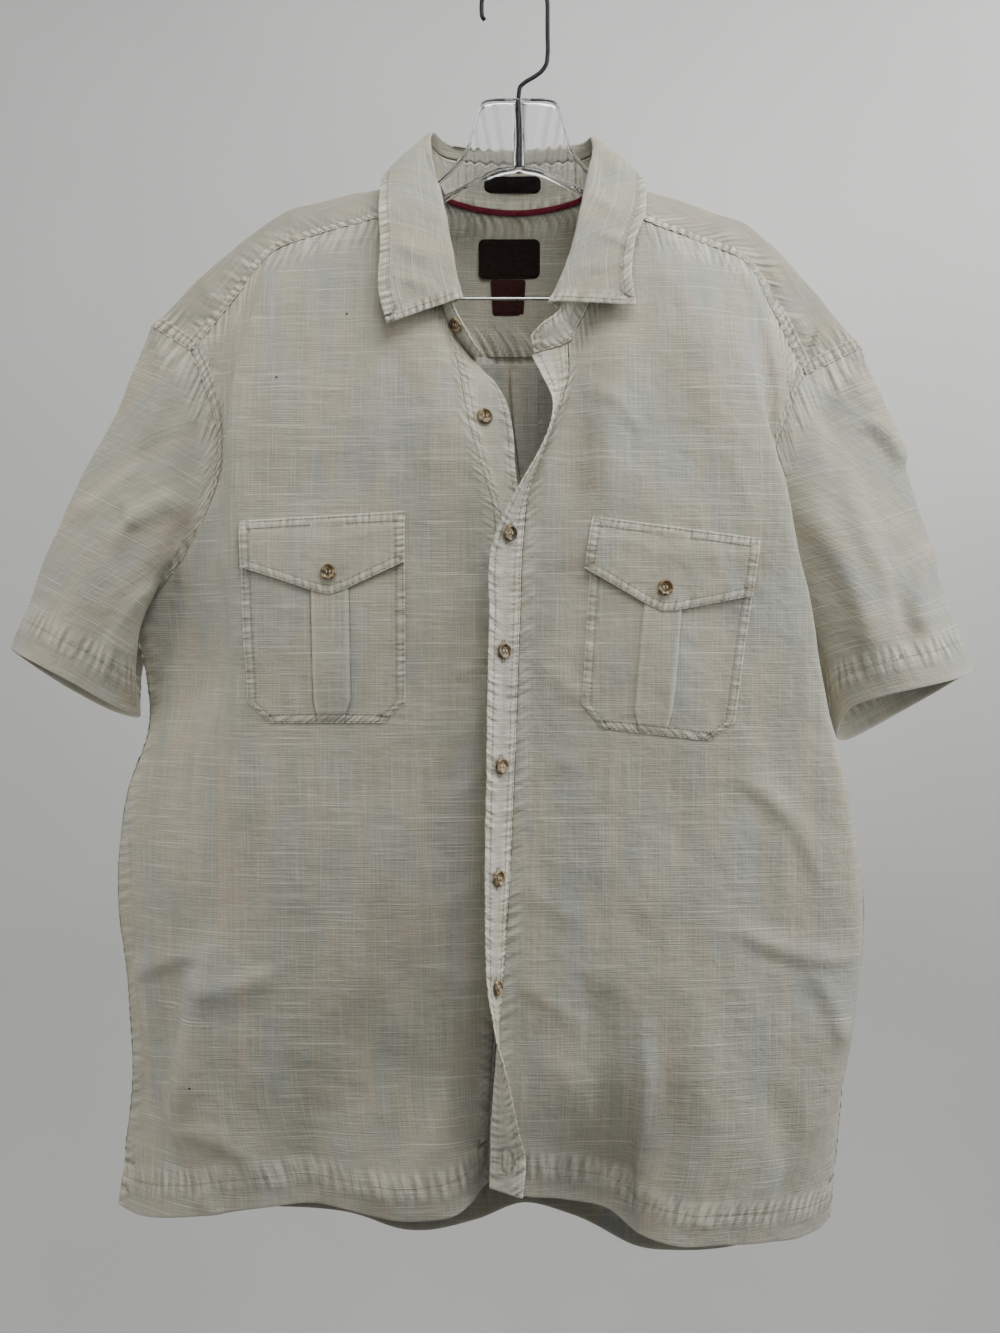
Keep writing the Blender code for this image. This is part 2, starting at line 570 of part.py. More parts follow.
def armhole(sleeve, s):
    """Closed armhole, by the cuff table's stations: the ends of the front, the back and the yoke."""
    def share(rows):
        heights = np.array([row.z for row in rows], float)
        return (heights[0] - heights) / (heights[0] - sleeve.side[-1].z)

    s = np.mod(s, 12.0)
    front = down(sleeve.front + sleeve.side[1:], np.interp(s, np.arange(1, 7), share(sleeve.front)))
    back = down(sleeve.back + sleeve.side[1:], np.interp(s, np.arange(6, 10), share(sleeve.back)[::-1]))
    over = np.interp(np.where(s < 6, s + 12, s), [9, 10, 11, 12, 13], [1.0, 0.78, 0.56, 0.341, 0.0])
    yoke = yoke_surface(np.full_like(s, sleeve.yoke_end), over)
    on_front, on_back = (s >= 1) & (s < 6), (s >= 6) & (s < 9)
    return np.where(on_front[..., None], front, np.where(on_back[..., None], back, yoke))


def cuff(sleeve, s):
    """Closed cuff edge, with the swell of the sleeve above it as a fourth column."""
    points = np.array([(row.x, row.y, row.z, row.out) for row in sleeve.cuff], float)
    wrapped = np.concatenate([points[-3:], points, points[:3]])
    return hermite(np.arange(len(wrapped)) - 3, wrapped, np.mod(s, 12.0))


def sleeve_surface(side):
    """Tube from the armhole to the cuff: u runs round it from the shoulder down the front."""
    sleeve = SLEEVES[side]

    def surface(u, v):
        s = u * 12
        first, last = armhole(sleeve, s), cuff(sleeve, s)
        swell, last = last[..., 3:], last[..., :3]
        out = np.sign(first[..., 0:1]) * np.array([1.0, 0.0, 0.0])
        along_arm = (last - first) / np.linalg.norm(last - first, axis=-1, keepdims=True)
        leave = along_arm * (0.3 + 0.7 * np.cos(np.pi * s / 6))[..., None] + 1.6 * out
        first = first + leave / np.linalg.norm(leave, axis=-1, keepdims=True) * SLEEVE_GAP
        t = v[..., None]
        points = first + (last - first) * t + out * swell * (t**3 - 2 * t**2 + t)
        middle = (cuff(sleeve, s * 0)[..., 1] + cuff(sleeve, s * 0 + 6)[..., 1]) / 2
        points[..., 1] += (points[..., 1] - middle) * SLEEVE_FULLNESS * np.sin(np.pi * v) ** 2
        return points

    return surface


def stand_surface(u, v):
    """Collar stand, from the neck seam up to the leaf's foot and on past its ends."""
    rows = STAND_END_RIGHT + COLLAR + STAND_END_LEFT
    s = u * (len(rows) - 1)
    seam, top = at_station([row.seam for row in rows], s), at_station([row.top for row in rows], s)
    lift = (top - seam) / np.linalg.norm(top - seam, axis=-1, keepdims=True)
    return seam + lift * STAND_LIFT + (top - lift * 0.3 - seam - lift * STAND_LIFT) * v[..., None]


def leaf_surface(u, v):
    """Collar leaf: up from the stand, over its rounded roll and down outside to the free edge."""
    s = u * (len(COLLAR) - 1)
    seam, top, roll, edge = (at_station([row[i] for row in COLLAR], s) for i in (1, 2, 3, 4))
    lift = (top - seam) / np.linalg.norm(top - seam, axis=-1, keepdims=True)
    fall = (edge - roll) / np.linalg.norm(edge - roll, axis=-1, keepdims=True)
    step = 1e-2
    rolls = [row.roll for row in COLLAR]
    run = at_station(rolls, s + step) - at_station(rolls, s - step)
    out = np.cross(run, fall)
    out = out / np.linalg.norm(out, axis=-1, keepdims=True)
    foot = top + lift * 1.1
    middle = (roll + edge) / 2 + out * LEAF_BOW
    outside = roll + out * ROLL_HALF + fall * ROLL_HALF
    path = [foot, roll - out * ROLL_HALF, roll - fall * ROLL_HALF, outside, middle, edge]
    knots = np.array([0, 1, 2, 3, 5.5, 8]) / 8
    steps = np.diff(knots)[:, None, None]
    net = np.stack(path)
    rises = np.diff(net, axis=0) / steps
    slopes = np.concatenate([rises[:1], (rises[:-1] + rises[1:]) / 2, rises[-1:]])
    piece = np.clip(np.searchsorted(knots, v, side="right") - 1, 0, len(knots) - 2)
    width = np.diff(knots)[piece][..., None]
    t = (v[..., None] - knots[piece][..., None]) / width
    spot = np.arange(len(v))
    return (
        net[piece, spot] * (2 * t**3 - 3 * t**2 + 1)
        + slopes[piece, spot] * width * (t**3 - 2 * t**2 + t)
        + net[piece + 1, spot] * (3 * t**2 - 2 * t**3)
        + slopes[piece + 1, spot] * width * (t**3 - t**2)
    )


def normal_of(surface, u, v, flip=1.0):
    """Unit normal by central differences."""
    step = 1e-3
    du = surface(np.clip(u + step, 0, 1), v) - surface(np.clip(u - step, 0, 1), v)
    dv = surface(u, np.clip(v + step, 0, 1)) - surface(u, np.clip(v - step, 0, 1))
    cross = np.cross(du, dv)
    return flip * cross / np.maximum(np.linalg.norm(cross, axis=-1, keepdims=True), 1e-12)


def locate(surface, x, z, u, v):
    """Surface parameters where it passes through x and z, by Newton steps from a first guess."""
    u, v = np.full(x.shape, float(u)), np.full(x.shape, float(v))
    step = 1e-3
    for _ in range(12):
        here = surface(u, v)
        du = (surface(u + step, v) - here) / step
        dv = (surface(u, v + step) - here) / step
        miss_x, miss_z = x - here[..., 0], z - here[..., 2]
        area = du[..., 0] * dv[..., 2] - dv[..., 0] * du[..., 2]
        area = np.where(np.abs(area) < 1e-9, 1e-9, area)
        step_u = (miss_x * dv[..., 2] - miss_z * dv[..., 0]) / area
        step_v = (miss_z * du[..., 0] - miss_x * du[..., 2]) / area
        u = np.clip(u + np.clip(step_u, -0.2, 0.2), 0.002, 0.997)
        v = np.clip(v + np.clip(step_v, -0.2, 0.2), 0.002, 0.997)
    return u, v


def lifted(surface, x, z, guess, height, flip=1.0):
    """Points at x and z on a surface, moved out along its normal by height."""
    u, v = locate(surface, x, z, *guess)
    return surface(u, v) + normal_of(surface, u, v, flip) * np.broadcast_to(height, x.shape)[..., None]


def quad(corners, a, b):
    """Level coordinates inside four corners: a from inner to outer, b from top to foot."""
    top_in, top_out, foot_in, foot_out = (np.array(c, float) for c in corners)
    a, b = a[..., None], b[..., None]
    top = top_in + (top_out - top_in) * a
    foot = foot_in + (foot_out - foot_in) * a
    return top + (foot - top) * b


def pocket_surface(row):
    """Patch pocket with cut corners and a raised box pleat, laid on its front."""
    surface = front_surface(row.side)
    flip = 1.0 if row.side == "right" else -1.0

    def pocket(a, b):
        height = math.dist(row.top_in, row.foot_in)
        cut = np.clip(1 - (1 - b) * height / POCKET_CHAMFER, 0, 1) * POCKET_CHAMFER
        width = math.dist(row.foot_in, row.foot_out)
        across = cut / width + a * (1 - 2 * cut / width)
        flat = quad((row.top_in, row.top_out, row.foot_in, row.foot_out), across, b)
        pleat = smooth_step((POCKET_PLEAT_SHARE - np.abs(a - 0.5)) / 0.03) * POCKET_PLEAT_RISE
        out = WALL / 2 + 2 * SEAM_GAP + POCKET_WALL / 2 + pleat
        return lifted(surface, flat[..., 0], flat[..., 1], (0.4, 0.25), out, flip)

    return pocket


def flap_surface(row):
    """Pointed pocket flap, lying over the pocket's mouth."""
    surface = front_surface(row.side)
    flip = 1.0 if row.side == "right" else -1.0

    def flap(a, b):
        flat = quad((row.top_in, row.top_out, row.flap_in, row.flap_out), a, b)
        middle = (row.flap_in[0] - row.flap_point[0]) / (row.flap_in[0] - row.flap_out[0])
        chord = row.flap_in[1] + (row.flap_out[1] - row.flap_in[1]) * middle
        tent = np.where(a < middle, a / middle, (1 - a) / (1 - middle))
        flat[..., 1] += (row.flap_point[1] - chord) * tent * b + FLAP_RISE * (1 - b)
        out = WALL / 2 + 3 * SEAM_GAP + POCKET_WALL * 1.5 + FLAP_STEP + FLAP_BELLY * np.sin(np.pi * b * 0.5)
        return lifted(surface, flat[..., 0], flat[..., 1], (0.4, 0.25), out, flip)

    return flap


def tape_surface(u, v):
    """Neck tape inside the back neck seam."""
    seam = at_station([row.seam for row in COLLAR], 4.4 + 3.2 * u)
    inward = -seam * np.array([1.0, 1.0, 0.0]) + np.array([0.0, 2.0, 0.0])
    inward = inward / np.linalg.norm(inward, axis=-1, keepdims=True)
    lift = np.array([0.0, 0.0, 1.0])
    out = COLLAR_WALL / 2 + LABEL_WALL / 2 + TAPE_LIFT
    return seam + inward * out + lift * (TAPE_RISE - TAPE_WIDTH * v[..., None])


def label_surface(row, surface, guess, out, flip):
    """Flat label laid on the inner face of a back piece."""

    def label(a, b):
        x = row.x_low + (row.x_high - row.x_low) * a
        z = row.z_high + (row.z_low - row.z_high) * b
        return lifted(surface, x, z, guess, out, flip)

    return label


def new_collection(name, hidden=False):
    collection = bpy.data.collections.new(name)
    bpy.context.scene.collection.children.link(collection)
    collection.hide_render = hidden
    return collection


def material(name):
    """Principled material of one finish, made once."""
    if name in bpy.data.materials:
        return bpy.data.materials[name]
    red, green, blue, rough, metal = COLOURS[name]
    made = bpy.data.materials.new(name)
    made.use_nodes = True
    shader = made.node_tree.nodes["Principled BSDF"]
    shader.inputs["Base Color"].default_value = (red, green, blue, 1)
    shader.inputs["Roughness"].default_value = rough
    shader.inputs["Metallic"].default_value = metal
    if name == "clear_plastic":
        shader.inputs["Transmission Weight"].default_value = 0.9
    return made


def mesh_object(name, mesh, finish, collection):
    made = bpy.data.objects.new(name, mesh)
    collection.objects.link(made)
    made.data.materials.append(material(finish))
    return made


def cloth(name, surface, columns, rows, collection, wall=WALL, finish="cloth", round_tube=False,
          trim=(0.0, 0.0, 0.0, 0.0)):
    """A wall on a surface of two parameters. trim keeps it off its neighbours, as shares of u and v."""
    grid = bmesh.new()
    bmesh.ops.create_grid(grid, x_segments=columns, y_segments=rows, size=1)
    flat = np.array([vertex.co for vertex in grid.verts])
    u = trim[0] + (flat[:, 0] + 1) / 2 * (1 - trim[0] - trim[1])
    v = trim[2] + (1 - flat[:, 1]) / 2 * (1 - trim[2] - trim[3])
    for vertex, point in zip(grid.verts, surface(u, v)):
        vertex.co = Vector(point) * MM
    if round_tube:
        bmesh.ops.remove_doubles(grid, verts=grid.verts, dist=0.05 * MM)
    mesh = bpy.data.meshes.new(name)
    grid.to_mesh(mesh)
    grid.free()
    mesh.shade_smooth()
    made = mesh_object(name, mesh, finish, collection)
    thick = made.modifiers.new("wall", "SOLIDIFY")
    thick.thickness = wall * MM
    thick.offset = 0
    return made


def button(name, place, facing, collection):
    """Turned button with a raised rim, its back at the place, facing outwards."""
    profile = [(0, 1.5), (3.6, 1.7), (5.0, BUTTON_THICK), (5.8, BUTTON_THICK - 0.2)]
    profile += [(BUTTON_RADIUS, 1.5), (5.2, 0), (0, 0)]
    mesh = bpy.data.meshes.new(name)
    edges = [(i, i + 1) for i in range(len(profile) - 1)]
    mesh.from_pydata([(r * MM, 0, h * MM) for r, h in profile], edges, [])
    made = mesh_object(name, mesh, "button", collection)
    turn = made.modifiers.new("turned", "SCREW")
    turn.steps = turn.render_steps = 16
    turn.use_merge_vertices = True
    turn.merge_threshold = 0.00005
    turn.use_normal_calculate = True
    made.location = Vector(place) * MM
    made.rotation_euler = Vector(facing).to_track_quat("Z", "Y").to_euler()
    return made


def wire(name, points, radius, finish, collection):
    """Round wire along a poly line of points."""
    curve = bpy.data.curves.new(name, "CURVE")
    curve.dimensions = "3D"
    curve.bevel_depth = radius * MM
    curve.bevel_resolution = 2
    curve.use_fill_caps = True
    line = curve.splines.new("POLY")
    line.points.add(len(points) - 1)
    for point, (x, y, z) in zip(line.points, points):
        point.co = (x * MM, y * MM, z * MM, 1)
    made = bpy.data.objects.new(name, curve)
    collection.objects.link(made)
    curve.materials.append(material(finish))
    return made


def arc(centre_x, centre_z, radius, start, stop, count):
    """Points on an arc in the XZ plane, angles in degrees from +X towards +Z."""
    return [
        (centre_x + radius * math.cos(math.radians(a)), 0, centre_z + radius * math.sin(math.radians(a)))
        for a in np.linspace(start, stop, count)
    ]


def make_shirt(parts):
    """All the cloth pieces."""
    for side in ("right", "left"):
        cloth(f"front_{side}", front_surface(side), 18, 30, parts, trim=(0.0015, 0.003, 0.0012, 0.0))
    lower, upper = BANDS["lower"], BANDS["upper"]
    cloth("button_band", band_surface(*lower), 2, 26, parts, trim=(0, 0, 0.003, 0))
    cloth("buttonhole_band", band_surface(*upper), 2, 30, parts, trim=(0, 0, 0.003, 0))
    cloth("back", back_shaped, 24, 22, parts, trim=(0.0012, 0.0012, 0.0012, 0))
    cloth("yoke", yoke_surface, 40, 8, parts, trim=(0.002, 0.002, 0.006, 0.003))
    for side in ("right", "left"):
        cloth(f"sleeve_{side}", sleeve_surface(side), 24, 9, parts, round_tube=True)
    cloth("collar_stand", stand_surface, 40, 2, parts, wall=COLLAR_WALL)
    cloth("collar_leaf", leaf_surface, 36, 8, parts, wall=COLLAR_WALL)
    for row in POCKETS:
        cloth(f"pocket_{row.side}", pocket_surface(row), 12, 8, parts, wall=POCKET_WALL)
        cloth(f"pocket_flap_{row.side}", flap_surface(row), 8, 3, parts, wall=POCKET_WALL)
    cloth("neck_tape", tape_surface, 14, 1, parts, wall=LABEL_WALL, finish="tape")
    inside = -(WALL / 2 + LABEL_WALL / 2 + YOKE_LABEL_LIFT)
    for row in YOKE_LABELS:
        label = label_surface(row, yoke_surface, (0.5, 0.5), inside, 1.0)
        cloth(row.name, label, 4, 3, parts, wall=LABEL_WALL, finish="label")
    inside = -(COLLAR_WALL / 2 + LABEL_WALL / 2 + STAND_LABEL_LIFT)
    label = label_surface(STAND_LABEL, stand_surface, (0.47, 0.5), inside, -1.0)
    cloth(STAND_LABEL.name, label, 6, 2, parts, wall=LABEL_WALL, finish="label")


def facing_front(normal):
    return normal * (-1 if normal[1] > 0 else 1)


def make_buttons(parts):
    """Collar button, the undone button on the lower band, five through the upper band, one a flap."""
    a, b = np.array([COLLAR_BUTTON[0]]), np.array([COLLAR_BUTTON[1]])
    face = facing_front(normal_of(stand_surface, a, b)[0])
    button("button_collar", stand_surface(a, b)[0] + face * (COLLAR_WALL / 2 + SEAM_GAP), face, parts)
    for number, row in enumerate(FRONT_BUTTONS, 1):
        surface = band_surface(*BANDS[row.band])
        u, v = np.array([row.across]), np.array([0.5])
        for _ in range(20):
            slope = (surface(u, v + 1e-3) - surface(u, v))[0, 2] / 1e-3
            v = v + (row.z - surface(u, v)[0, 2]) / slope
        face = facing_front(normal_of(surface, u, v)[0])
        button(f"button_front_{number}", surface(u, v)[0] + face * (WALL / 2 + row.lift), face, parts)
    for row in POCKETS:
        surface = flap_surface(row)
        middle = (row.flap_in[0] - row.flap_point[0]) / (row.flap_in[0] - row.flap_out[0])
        a, b = np.array([middle]), np.array([FLAP_BUTTON_DOWN])
        face = facing_front(normal_of(surface, a, b)[0])
        place = surface(a, b)[0] + face * (POCKET_WALL / 2 + SEAM_GAP + 0.2)
        button(f"button_pocket_{row.side}", place, face, parts)


def hanger_half(sign):
    """Outline of the hanger on one side of its middle, from the top of the bell round the arm."""
    u, v = (grid.ravel() for grid in np.meshgrid(np.linspace(0, 1, 401), np.linspace(0, 1, 81)))
    yoke = yoke_surface(u, v)
    yoke = yoke[np.abs(yoke[:, 1]) < HANGER_THICK / 2 + 2]
    line = [(SOCKET_X + sign * row.x, row.z) for row in HANGER_BELL[0 if sign > 0 else 1:]]
    for row in ARM_TOP:
        x = SOCKET_X + sign * row.x
        lowest = yoke[np.abs(yoke[:, 0] - x) < 4][:, 2].min()
        line.append((x, lowest - WALL / 2 - SEAM_GAP - row.drop))
    return line + [(SOCKET_X + sign * row.x, row.z) for row in ARM_FOOT]


def make_hanger(parts, cutters):
    """Clear body cut from a plate, wire hook in its socket and the trouser bar."""
    curve = bpy.data.curves.new("hanger_body", "CURVE")
    curve.dimensions = "2D"
    curve.fill_mode = "BOTH"
    curve.extrude = HANGER_THICK / 2 * MM
    outline = hanger_half(1) + [(SOCKET_X, ARCH_TOP)] + hanger_half(-1)[::-1]
    line = curve.splines.new("POLY")
    line.points.add(len(outline) - 1)
    line.use_cyclic_u = True
    for point, (x, z) in zip(line.points, outline):
        point.co = (x * MM, z * MM, 0, 1)
    flat = bpy.data.objects.new("hanger_outline", curve)
    flat.rotation_euler = (math.radians(90), 0, 0)
    parts.objects.link(flat)
    bpy.context.view_layer.update()
    mesh = bpy.data.meshes.new_from_object(flat.evaluated_get(bpy.context.evaluated_depsgraph_get()))
    mesh.transform(flat.matrix_world)
    bpy.data.objects.remove(flat)
    welded = bmesh.new()
    welded.from_mesh(mesh)
    bmesh.ops.remove_doubles(welded, verts=welded.verts, dist=0.01 * MM)
    bmesh.ops.recalc_face_normals(welded, faces=welded.faces)
    welded.to_mesh(mesh)
    welded.free()
    mesh.materials.clear()
    body = mesh_object("hanger_body", mesh, "clear_plastic", parts)
    depth = SOCKET_TOP - SOCKET_FOOT + 10
    bpy.ops.mesh.primitive_cylinder_add(
        vertices=16, radius=(WIRE_RADIUS + SEAM_GAP) * MM, depth=depth * MM,
        location=(SOCKET_X * MM, 0, (SOCKET_FOOT + depth / 2) * MM),
    )
    cutter = bpy.context.object
    cutter.name = "socket_cutter"
    for collection in cutter.users_collection:
        collection.objects.unlink(cutter)
    cutters.objects.link(cutter)
    cutter.hide_render = True
    cutter.display_type = "WIRE"
    cut = body.modifiers.new("socket", "BOOLEAN")
    cut.object = cutter
    cut.operation = "DIFFERENCE"

    hook = [(SOCKET_X, 0, SOCKET_FOOT + 0.4), (SOCKET_X, 0, -130), (SOCKET_X, 0, -97)]
    hook += [(4.5, 0, -92), (8.5, 0, -88), (16, 0, -83.5), (22, 0, -79), (26, 0, -73), (27, 0, -66)]
    hook += arc(0, WIRE_RADIUS - HOOK_RADIUS, HOOK_RADIUS, 0, 180, 19)
    hook += [(-27, 0, -34), (-24.5, 0, -37)]
    wire("hanger_hook", hook, WIRE_RADIUS, "hook_wire", parts)
    left, right, low = SOCKET_X - BAR_HALF, SOCKET_X + BAR_HALF, BAR_Z + BAR_BEND
    bar = [(left, 0, BAR_TOP)] + arc(left + BAR_BEND, low, BAR_BEND, 180, 270, 5)
    bar += arc(right - BAR_BEND, low, BAR_BEND, 270, 360, 5) + [(right, 0, BAR_TOP)]
    wire("hanger_bar", bar, BAR_RADIUS, "bar_wire", parts)


def main():
    for old in list(bpy.data.objects):
        bpy.data.objects.remove(old)
    parts = new_collection("shirt_on_hanger")
    cutters = new_collection("cutters")
    make_shirt(parts)
    make_buttons(parts)
    make_hanger(parts, cutters)


main()
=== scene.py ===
"""Looks of a short-sleeved button-down shirt on a clear hanger, laid out as an add-on and run as a script.

Lengths in the tables are in millimetres, in the frame's axes; MM turns them into metres when a mesh
is made. Cloth is worked out as surfaces of two parameters, read on grids of arrays.
"""

import math
from collections import namedtuple

import bpy
import numpy as np
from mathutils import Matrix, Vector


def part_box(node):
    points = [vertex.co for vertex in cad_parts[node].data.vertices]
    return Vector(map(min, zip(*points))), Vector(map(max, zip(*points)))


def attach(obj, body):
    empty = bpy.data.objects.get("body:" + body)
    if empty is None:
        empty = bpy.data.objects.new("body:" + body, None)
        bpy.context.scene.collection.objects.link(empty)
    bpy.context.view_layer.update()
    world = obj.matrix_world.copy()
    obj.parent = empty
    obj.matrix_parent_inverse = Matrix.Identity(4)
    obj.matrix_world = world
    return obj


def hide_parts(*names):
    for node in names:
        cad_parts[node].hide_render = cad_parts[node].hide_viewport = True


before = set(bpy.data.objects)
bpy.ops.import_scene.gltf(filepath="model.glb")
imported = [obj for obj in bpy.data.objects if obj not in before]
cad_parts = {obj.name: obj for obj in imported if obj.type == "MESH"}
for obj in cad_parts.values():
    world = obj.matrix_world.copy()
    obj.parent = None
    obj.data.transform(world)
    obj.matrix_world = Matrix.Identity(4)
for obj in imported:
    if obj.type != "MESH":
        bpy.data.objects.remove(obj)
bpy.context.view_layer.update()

bl_info = {
    "name": "Button-down shirt on a hanger",
    "version": (1, 0, 0),
    "blender": (4, 5, 0),
    "location": "3D View > Sidebar > Shirt",
    "description": "Builds the cloth, trimmings and hanger of a short-sleeved shirt",
    "category": "Object",
}

MM = 0.001

# Sizes of the cloth and its trimmings, in millimetres
WALL = 1.2
COLLAR_WALL = 1.8
SEAM_GAP = 0.3
SIDE_GAP = 0.9
UPPER_BAND_SHIFT = 1.0
LOWER_BAND_SHIFT = 0.8
STAND_LIFT = 0.6
ROLL_HALF = 1.6
LEAF_BOW = 2.0
SLEEVE_GAP = 0.8
SLEEVE_FULLNESS = 0.25
BUTTON_RADIUS = 6.3
BUTTON_THICK = 2.6
POCKET_CHAMFER = 17.0
FLAP_RISE = 4.0
PLEAT_HALF = 19.0
BACK_PLEAT_DEPTH = 3.0
TAPE_RISE = 2.2
TAPE_WIDTH = 5.0
TAPE_LIFT = 0.6
HEM_HEIGHT = 27.0
CUFF_HEM_HEIGHT = 29.0
LAP_WIDTH = 10.0
LAP_INSET = 0.6

# Distances of the stitch rows from their edges, in millimetres
HEM_STITCHES = (HEM_HEIGHT - 1.5,)
CUFF_STITCHES = (CUFF_HEM_HEIGHT - 1.5,)
BAND_SEAM_STITCHES = (1.6, 6.5)
BAND_EDGE_STITCHES = (5.5,)
LEAF_STITCHES = (7.0,)
STAND_STITCHES = (2.0,)
POCKET_STITCHES = (1.6, 7.0)
LAP_STITCHES = (1.9, 7.9)

# Sizes of the hanger, in millimetres
HOOK_RADIUS = 27.0
WIRE_RADIUS = 1.8
HANGER_THICK = 8.0
SOCKET_X = 3.6
SOCKET_FOOT = -158.0
BAR_RADIUS = 1.3
BAR_HALF = 178.0
BAR_Z = -265.0
BAR_TOP = -229.7
BAR_BEND = 6.0


def rows_of(kind, *values):
    """Rows of a table, from one tuple for each in the order of the kind's columns."""
    return tuple(kind(*value) for value in values)


def unit(vectors):
    """Vectors brought to the length one."""
    return vectors / np.linalg.norm(vectors, axis=-1, keepdims=True)


Place = namedtuple("Place", "x y z")

# Armholes: down the front and down the back, from the yoke's corners to the arm pit
ARMHOLE_FRONT_RIGHT = rows_of(
    Place, (-261, -16, -311), (-249, -24, -340), (-238, -30, -380), (-242, -32, -428), (-271, -20, -487),
    (-309, -4, -527),
)
ARMHOLE_BACK_RIGHT = rows_of(
    Place, (-264, 29, -385), (-262, 24, -440), (-283, 12, -490), (-309, -4, -527),
)
ARMHOLE_FRONT_LEFT = rows_of(
    Place, (234, -16, -330), (225, -23, -350), (211, -26, -382), (205, -20, -430), (213, -9, -502),
    (236, -2, -545),
)
ARMHOLE_BACK_LEFT = rows_of(
    Place, (240, 30, -395), (230, 25, -450), (229, 12, -505), (236, -2, -545),
)

# Cuffs, by station round the sleeve: over the shoulder, down the front, the arm pit, up the back.
# The out column swells the sleeve away from the body half way down
CuffRow = namedtuple("CuffRow", "place out x y z")
CUFF_RIGHT = rows_of(
    CuffRow, ("shoulder top", 0, -417, 14, -551), ("front yoke corner", 0, -402, -8, -557),
    ("front, high", 0, -380, -20, -567), ("front, middle", 20, -356, -26, -579),
    ("front, low", 62, -334, -24, -592), ("front, above the arm pit", 70, -316, -16, -602),
    ("arm pit", 45, -308, 2, -606), ("back, above the arm pit", 45, -316, 18, -608),
    ("back, low", 15, -338, 30, -602), ("back yoke corner", 0, -366, 34, -588),
    ("back, high", 0, -392, 32, -572), ("behind the shoulder top", 0, -410, 24, -558),
)
CUFF_LEFT = rows_of(
    CuffRow, ("shoulder top", 0, 378, 14, -570), ("front yoke corner", 0, 362, -12, -575),
    ("front, high", 0, 340, -24, -580), ("front, middle", 0, 316, -30, -585),
    ("front, low", 15, 292, -28, -591), ("front, above the arm pit", 50, 272, -16, -600),
    ("arm pit", 20, 266, 4, -620), ("back, above the arm pit", 15, 276, 22, -627),
    ("back, low", 5, 300, 34, -617), ("back yoke corner", 0, 328, 38, -602),
    ("back, high", 0, 352, 34, -588), ("behind the shoulder top", 0, 370, 26, -576),
)

# Side seams from the arm pit to the hem
SIDE_RIGHT = rows_of(
    Place, (-309, -4, -527), (-300, -4, -570), (-297, -4, -614), (-314, -4, -665), (-323, -4, -745),
    (-315, -2, -826), (-312, 0, -904), (-318, 0, -962), (-323, -3, -1005),
)
SIDE_LEFT = rows_of(
    Place, (236, -2, -545), (244, -3, -580), (257, -4, -636), (273, -5, -690), (284, -5, -755),
    (281, -5, -815), (271, -5, -869), (264, -5, -935), (257, -5, -1015),
)

# Front seams of the yoke, from the neck point out to the armhole
YOKE_SEAM_RIGHT = rows_of(
    Place, (-84, -40, -201), (-104, -38, -207), (-164, -27, -221), (-195, -21, -232), (-222, -19, -264),
    (-261, -16, -311),
)
YOKE_SEAM_LEFT = rows_of(
    Place, (84, -40, -203), (104, -38, -211), (150, -28, -226), (187, -21, -241), (208, -20, -278),
    (234, -16, -330),
)

# Neckline down each front, from the neck point to the band
NECKLINE_RIGHT = rows_of(
    Place, (-84, -40, -201), (-73, -50, -240), (-62, -55, -270), (-52, -56, -300),
)
NECKLINE_LEFT = rows_of(
    Place, (84, -40, -203), (73, -52, -244), (58, -57, -281), (42, -60, -312),
)

# Where the band is sewn on each front, and the fold of the front's side
BAND_SEAM_RIGHT = rows_of(
    Place, (-52, -56, -300), (-43, -66, -340), (-36, -75, -378), (-27, -78, -410), (-18, -77, -440),
    (-14, -74, -475), (-13, -71, -560), (-13, -70, -700), (-15, -68, -820), (-20, -58, -900),
    (-22, -50, -974),
)
BAND_SEAM_LEFT = rows_of(
    Place, (42, -60, -312), (42, -64, -338), (36, -68, -360), (21, -72, -400), (11, -77, -430),
    (7, -81, -462), (4, -84, -530), (0, -86, -640), (-5, -87, -746), (-10, -87, -816), (-15, -87, -870),
    (-19, -86, -920), (-20, -84, -969),
)
SIDE_FOLD_RIGHT = rows_of(
    Place, (-195, -21, -232), (-213, -36, -285), (-227, -50, -357), (-229, -56, -410), (-221, -62, -467),
    (-218, -66, -592), (-226, -70, -748), (-250, -68, -826), (-268, -64, -904), (-260, -62, -998),
)
SIDE_FOLD_LEFT = rows_of(
    Place, (187, -21, -241), (190, -40, -285), (197, -54, -332), (206, -60, -390), (216, -62, -451),
    (228, -60, -500), (236, -58, -550), (246, -56, -607), (262, -54, -743), (258, -56, -830),
    (240, -62, -905), (196, -68, -1016),
)

# How far each front swells between its band and side fold, and beyond the fold, by height
SwellRow = namedtuple("SwellRow", "z belly side")
SWELL_RIGHT = rows_of(
    SwellRow, (-300, 2, 0), (-410, 6, -4), (-470, 8, -10), (-527, 10, -13), (-614, 12, -3), (-745, 14, 8),
    (-826, 14, -4), (-904, 14, -12), (-1005, 14, -8),
)
SWELL_LEFT = rows_of(
    SwellRow, (-300, 2, 0), (-390, 6, -6), (-451, 8, -8), (-500, 8, -6), (-560, 8, -3), (-640, 8, 3),
    (-745, 8, 7), (-905, 10, 8), (-1015, 8, 6),
)

# Hems, from the band to the side seam
HEM_RIGHT = rows_of(
    Place, (-22, -50, -974), (-48, -80, -990), (-89, -86, -994), (-113, -84, -990), (-152, -74, -985),
    (-200, -76, -987), (-260, -62, -998), (-301, -28, -1006), (-323, -3, -1005),
)
HEM_LEFT = rows_of(
    Place, (-20, -84, -969), (6, -74, -978), (36, -64, -983), (72, -64, -992), (94, -80, -1005),
    (124, -88, -1012), (158, -82, -1013), (196, -68, -1016), (240, -28, -1019), (257, -5, -1015),
)

